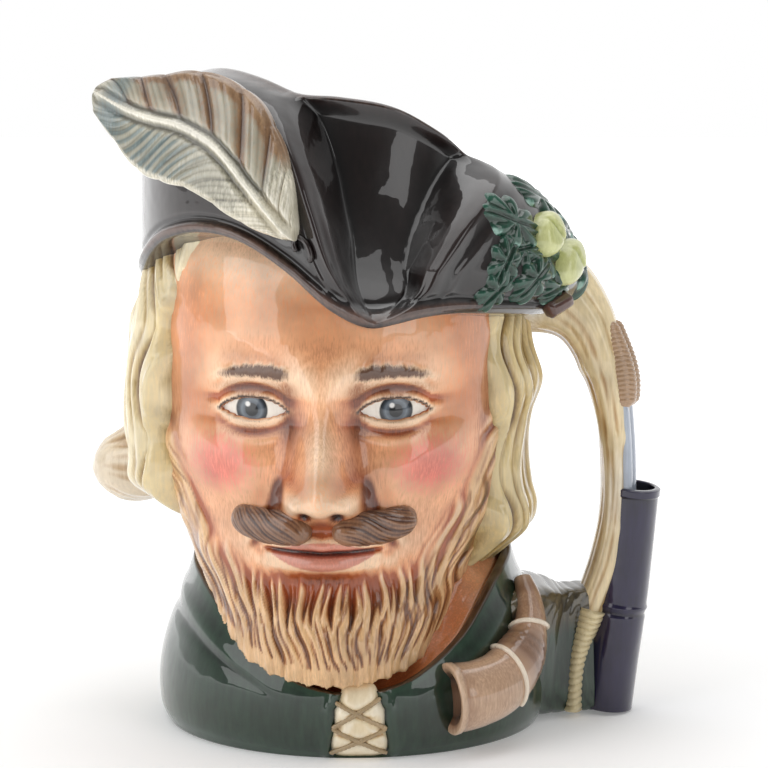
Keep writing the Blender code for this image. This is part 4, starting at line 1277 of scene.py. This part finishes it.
def hat_host(degrees, t, tilt):
    """Places local (a, b) on the hat, about a point and turned by tilt degrees."""
    turn = np.radians(tilt)

    def host(a, b, height):
        across = a * np.cos(turn) - b * np.sin(turn)
        up = a * np.sin(turn) + b * np.cos(turn)
        angle = np.radians(degrees) + across / HAT_RADIUS
        return on_hat(angle, np.clip(t + up / HAT_RISE, 0.01, 0.99), height)

    return host


# Each leaf: degrees round the hat, share of its height, tilt, length, width, and how far it stands out
LEAVES = [(56, 0.40, 215, 26, 17, 1.0), (72, 0.58, 150, 26, 17, 1.0), (48, 0.42, 195, 22, 15, 1.1),
          (90, 0.60, 40, 26, 15, 1.1), (98, 0.34, 70, 24, 14, 1.1), (62, 0.19, 200, 20, 12, 1.2),
          (45.5, 0.57, 176, 26, 15, 2.1), (41, 0.31, 235, 18, 12, 1.9), (38.5, 0.14, 220, 18, 10, 1.8),
          (51, 0.23, 220, 21, 12, 2.1), (64, 0.80, 172, 29, 13, 1.8), (84, 0.33, 65, 26, 14, 2.0)]
FRUITS = [(58, 0.535, 46, 16, 11), (67, 0.365, 40, 19, 11)]


def leaf_form(host, length, width, rise, u, v):
    """An oak leaf in blunt lobes, with a sunk midrib and a furrow between each two lobes."""

    def outline(turn):
        lobes = 1.0 - 0.20 * np.abs(np.sin(4.0 * turn)) ** 2
        body = 0.5 * width * np.sin(turn)
        return 0.5 * length * np.cos(turn) * (0.86 + 0.14 * lobes), body * lobes

    def relief(a, b):
        turn = np.arctan2(b / width, a / length)
        furrows = np.abs(np.sin(4.0 * turn)) ** 3 * step(np.abs(b), 0.8, 2.0)
        return -1.0 * bell(b, 0, 0.6) - 0.9 * furrows

    return laid(host, outline, rise, 3.0, u, v, relief)


def make_spray():
    """The oak spray on the right of the hat: leaves, two pale acorns and the cut end of the twig."""

    def leaf_masks(u, v):
        turn = 2 * np.pi * u
        lobe = 1.0 - np.abs(np.sin(4.0 * turn))
        tip = step(np.sin(np.pi * v), 0.66, 0.9) * step(lobe, 0.35, 0.7)
        return {"tip": tip * step(np.sin(turn), -0.1, 0.4) * step(-v, -0.52, -0.5)}

    def cup(a, b):
        return 0.45 * step(a, 0.8, 1.6) - 0.35 * bell(a, 0.5, 0.5)

    for number, (degrees, t, tilt, length, width, rise) in enumerate(LEAVES):
        host = hat_host(degrees, t, tilt)
        carved(f"leaf_{number}", 96, 48, lambda u, v: leaf_form(host, length, width, rise, u, v), LEAF,
               grain=0.9, masks=leaf_masks)
    for number, (degrees, t, tilt, length, width) in enumerate(FRUITS):
        host = hat_host(degrees, t, tilt)

        def egg(turn):
            return 0.5 * length * np.cos(turn), 0.5 * width * np.sin(turn)

        carved(f"acorn_{number}", 72, 48, lambda u, v: laid(host, egg, 4.6, 3.0, u, v, cup), FRUIT, grain=0.9)
    s = np.linspace(0, 1, 5)
    stub = on_hat(np.radians(66.0 - 7.0 * s), 0.13 - 0.08 * s, 1.6 + 0.6 * s)

    def twig(u, v):
        return rod(stub, [6.0, 6.4, 6.0, 5.6, 5.0], [5.0] * 5, (0, 0, 1), u, v, share=rounded(v, 0.12),
                   ridge=0.04 * np.cos(14 * np.pi * u))

    carved("twig", 40, 40, twig, STALK)


# Horn


HORN_PATH = [(27, -49.5, 16.4), (35, -45.5, 17), (42, -39.5, 19), (48, -31, 24.5), (51, -24, 31),
             (50.8, -18, 37.5), (49, -14, 44)]
HORN_WIDTHS = [20, 19, 18.2, 15.5, 10.5, 8.3, 5]
HORN_DEPTHS = 0.85 * np.array(HORN_WIDTHS)
# Along v over the mouth and the horn: how far along the horn, and how much of its section is left
HORN_MOUTH = [(0.0, 0.035, 0.05), (0.05, 0.033, 0.55), (0.11, 0.004, 0.82), (0.14, -0.004, 0.94),
              (0.17, 0.006, 1.03), (0.20, 0.03, 1.03), (0.22, 0.045, 1.0), (0.97, 0.985, 1.0),
              (1.0, 1.0, 0.2)]
HORN_FACING = (0.6, -0.8, 0)


def horn_at(place, turn, lift):
    """A point on the horn, lifted off it."""
    share = 1.0 + lift / (0.5 * evenly(HORN_WIDTHS, place))
    return rod(HORN_PATH, HORN_WIDTHS, HORN_DEPTHS, HORN_FACING, turn, place, share=share)


def make_horn():
    keys, places, shares = np.array(HORN_MOUTH).T

    def form(u, v):
        place, share = np.interp(v, keys, places), np.interp(v, keys, shares)
        rings = 0.02 * ridges(place * 60.0, 0.5) * bell(place, 0.55, 0.16)
        return rod(HORN_PATH, HORN_WIDTHS, HORN_DEPTHS, HORN_FACING, u, v, place=np.clip(place, 0, 1),
                   share=share, ridge=rings)

    def masks(u, v):
        place = np.interp(v, keys, places)
        # Darker paint on a band round the middle and on the narrow end, and painted shade deep in the bell's
        # shallow mouth
        worn = bell(place, 0.50, 0.10) + 1.1 * step(-v, -0.11, -0.08) + 0.5 * step(place, 0.8, 0.9)
        return {"worn": np.clip(worn, 0, 1)}

    carved("horn", 120, 150, form, HORN, grain=0.4, masks=masks)
    s = np.linspace(0, 1, 13)
    for number, (start, end, turn, span) in enumerate([(0.33, 0.44, 0.10, 0.62), (0.69, 0.60, 0.08, 0.62)]):
        path = horn_at(start + (end - start) * s, turn + span * s, 0.25)
        strung(f"strap_{number}", path, 1.5, 1.5, STRAP)
    line = horn_at(np.linspace(0.36, 0.68, 9), np.linspace(0.62, 0.70, 9), 0.3)
    strung("strap_2", line, 1.6, 1.3, STRAP, end=0.04)


# Handle


BOW_PATH = [(46, 6, 128), (58, 4, 125), (67.5, 2, 117), (73, 0.5, 104), (75.9, 0, 90), (77.1, 0, 75),
            (76.9, 0, 60), (74.6, 0, 46), (70, 0, 32), (65.6, 0, 18), (64.4, 0, 1.2)]
BOW_WIDTHS = 8.8 * np.array([3.1, 3.0, 2.1, 1.5, 1.15, 1.0, 1.0, 1.1, 1.05, 0.85, 0.8])
BOW_DEPTHS = 16.0 * np.array([1.5, 1.5, 1.3, 1.1, 1.0, 0.95, 0.95, 1.0, 1.0, 1.0, 1.0])
REACH = 15.0
QUIVER_PATH = [(60 + REACH, 1.5, 1.2), (61.5 + REACH, 1.5, 16), (64 + REACH, 1, 34), (66 + REACH, 0.5, 52),
               (67.5 + REACH, 0, 68)]
QUIVER_WIDTH = 16.2
ARROW_SHAFT = 4.2


def make_bow():
    def form(u, v):
        turns = 2 * np.pi * u
        bark = 0.022 * np.cos(7 * turns + 4.0 * np.sin(7 * v)) + 0.012 * np.cos(17 * turns + 9.0 * v)
        knots = 0.03 * bell(v, 0.30, 0.02) + 0.025 * bell(v, 0.45, 0.02) + 0.03 * bell(v, 0.62, 0.02)
        ridge = bark + knots * (1 + np.cos(turns + 30 * v))
        return rod(BOW_PATH, BOW_WIDTHS, BOW_DEPTHS, ALONG_Y, u, v, ridge=ridge)

    # Painted highlights: pale paint on the top of the bow, where it meets the hat, and on a band part way
    # down its limb
    def masks(u, v):
        return {"pale": np.clip(0.9 * step(-v, -0.17, -0.06) + 0.5 * bell(v, 0.55, 0.10), 0, 1)}

    carved("bow", 96, 200, form, WOOD, grain=0.25, masks=masks)

    def cord(u, v):
        place = 0.80 + 0.195 * v
        wound = 0.05 + 0.06 * ridges(np.pi * (16 * v + 2.0 * u), 0.7)
        return rod(BOW_PATH, BOW_WIDTHS, 1.32 * BOW_DEPTHS, ALONG_Y, u, v, place=place, ridge=wound)

    carved("binding", 80, 220, cord, CORD, grain=0.2)


def make_quiver():
    widths = QUIVER_WIDTH * np.array([1.0, 1.03, 1.0, 0.96, 0.94])
    profile = [(0.0, 0.0, 0.86), (0.02, 0.0, 1.0), (0.84, 0.96, 1.0), (0.85, 0.965, 1.05),
               (0.90, 0.995, 1.05), (0.92, 1.0, 0.96), (0.94, 1.0, 0.84), (1.0, 0.90, 0.82)]
    keys, places, shares = np.array(profile).T

    def form(u, v):
        place, share = np.interp(v, keys, places), np.interp(v, keys, shares)
        seam = 0.04 * bell(place, 0.48, 0.008) - 0.03 * bell(place, 0.455, 0.008)
        return rod(QUIVER_PATH, widths, 1.15 * widths, ALONG_Y, u, v, place=place, share=share, ridge=seam)

    carved("quiver", 96, 200, form, QUIVER, grain=0.3)


def arrow_path(place):
    x, y = 66.5 + REACH - 1.5 * abs(place), 4.6 * place
    return [(x, y, 62), (x - 0.7, y, 82), (x - 2.7, 0.9 * y, 100), (x - 6.5, 0.8 * y, 117)]


def make_arrows():
    for place in (-1, 0, 1):
        path = arrow_path(place)

        def shaft(u, v):
            return rod(path, [ARROW_SHAFT] * 3, [1.25 * ARROW_SHAFT] * 3, ALONG_Y, u, v, place=0.62 * v,
                       share=0.95)

        def vane(u, v):
            grooves = 0.10 * ridges(60.0 * v - 3.0 * np.abs(np.sin(2 * np.pi * u)), 0.6)
            widths = ARROW_SHAFT * np.array([1.0, 1.0, 2.3, 1.4])
            depths = ARROW_SHAFT * np.array([1.25, 1.25, 1.5, 1.0])
            return rod(path, widths, depths, ALONG_Y, u, v, place=0.5 + 0.5 * v, share=rounded(v, 0.1),
                       ridge=grooves)

        carved(f"shaft_{place + 1}", 24, 60, shaft, SHAFT, grain=0.3)
        carved(f"fletching_{place + 1}", 48, 120, vane, FLETCHING, grain=0.2)


def make_turf():
    """The turf and leaves that join the coat to the foot of the handle."""
    path = [(34, -2, 21), (50, -1.5, 20.5), (60, -1, 19.5), (70, 0, 19.8)]

    def form(u, v):
        blades = 0.010 * ridges(30.0 * v + 2.0 * np.sin(6 * np.pi * u), 0.9)
        blades += 0.004 * np.cos(22 * np.pi * u + 20 * v)
        return rod(path, [41, 39.5, 37, 37.6], [52, 40, 22, 15], ALONG_Y, u, v, power=0.4, ridge=blades)

    def masks(u, v):
        return {"green": step(-form(u, v)[:, 2], -34, -22)}

    carved("turf", 160, 120, lambda u, v: in_wall(form(u, v), GLAZE), TURF, grain=0.3, masks=masks)


# Camera, light and floor


AIM = np.array([0.0, 0.0, 0.10])
CAMERA_PLACE = (9.0, -731.0, 200.7)
CAMERA_TILT = np.radians(82.0)
LENS = 118.125


def make_studio():
    bpy.ops.object.select_all(action="DESELECT")
    bpy.ops.mesh.primitive_plane_add(size=8.0)
    floor = bpy.context.object
    floor.name = "floor"
    # A white floor that glows by itself, least near the jug and more away from it, so that it runs into the
    # white behind
    board = bpy.data.materials.new("glowing_white_floor")
    board.use_nodes = True
    tree = board.node_tree
    shader = tree.nodes["Principled BSDF"]
    shader.inputs["Base Color"].default_value = (0.86, 0.86, 0.86, 1.0)
    shader.inputs["Roughness"].default_value = 0.8
    shader.inputs["Emission Color"].default_value = (1.0, 1.0, 1.0, 1.0)
    place = add(tree, "TexCoord").outputs["Object"]
    away = add(tree, "VectorMath", {0: place}, operation="LENGTH").outputs["Value"]
    lit = {"Value": away, "From Min": 0.08, "From Max": 1.1, "To Min": 0.18, "To Max": 1.0}
    lit = add(tree, "MapRange", lit).outputs["Result"]
    tree.links.new(lit, shader.inputs["Emission Strength"])
    floor.data.materials.append(board)

    camera = bpy.data.objects.new("camera", bpy.data.cameras.new("camera"))
    camera.data.sensor_width = 36.0
    camera.data.lens = LENS
    camera.location = (np.array(CAMERA_PLACE) - np.array([*MOULD_CENTRE, 0.0])) * MM
    camera.rotation_euler = (CAMERA_TILT, 0.0, 0.0)
    bpy.context.collection.objects.link(camera)
    bpy.context.scene.camera = camera

    softboxes = [
        ("left_softbox", (-0.95, -0.62, 0.62), (0.85, 1.25), 7.0),
        ("right_softbox", (0.80, -0.85, 0.55), (0.50, 0.90), 2.8),
        ("top_softbox", (0.00, 0.05, 1.25), (1.30, 1.00), 7.0),
    ]
    for name, place, size, power in softboxes:
        light = bpy.data.lights.new(name, "AREA")
        light.shape = "RECTANGLE"
        light.size, light.size_y = size
        light.energy = power
        lamp = bpy.data.objects.new(name, light)
        lamp.location = place
        x, y, z = np.array(place) - AIM
        lamp.rotation_euler = (np.arctan2(np.hypot(x, y), z), 0.0, np.arctan2(x, -y))
        bpy.context.collection.objects.link(lamp)

    world = bpy.data.worlds.new("studio")
    world.use_nodes = True
    tree = world.node_tree
    sky = tree.nodes["Background"]
    sky.inputs["Color"].default_value = (1.0, 1.0, 1.0, 1.0)
    facing = add(tree, "TexCoord").outputs["Generated"]
    behind = add(tree, "SeparateXYZ", {"Vector": facing}).outputs["Y"]
    bright = {"Value": behind, "From Min": -0.25, "From Max": 0.6, "To Min": 0.13, "To Max": 1.0}
    bright = add(tree, "MapRange", bright).outputs["Result"]
    seen = add(tree, "LightPath").outputs["Is Camera Ray"]
    bright = add(tree, "Math", {0: bright, 1: seen}, operation="MAXIMUM").outputs[0]
    tree.links.new(bright, sky.inputs["Strength"])
    bpy.context.scene.world = world
    bpy.context.scene.view_settings.view_transform = "Standard"


for make in (make_face, make_hair, make_curl, make_eyes, make_moustache, make_neck, make_coat, make_shirt,
             make_hat, make_lining, make_feather, make_spray, make_horn, make_bow, make_quiver, make_arrows,
             make_turf, make_studio):
    make()
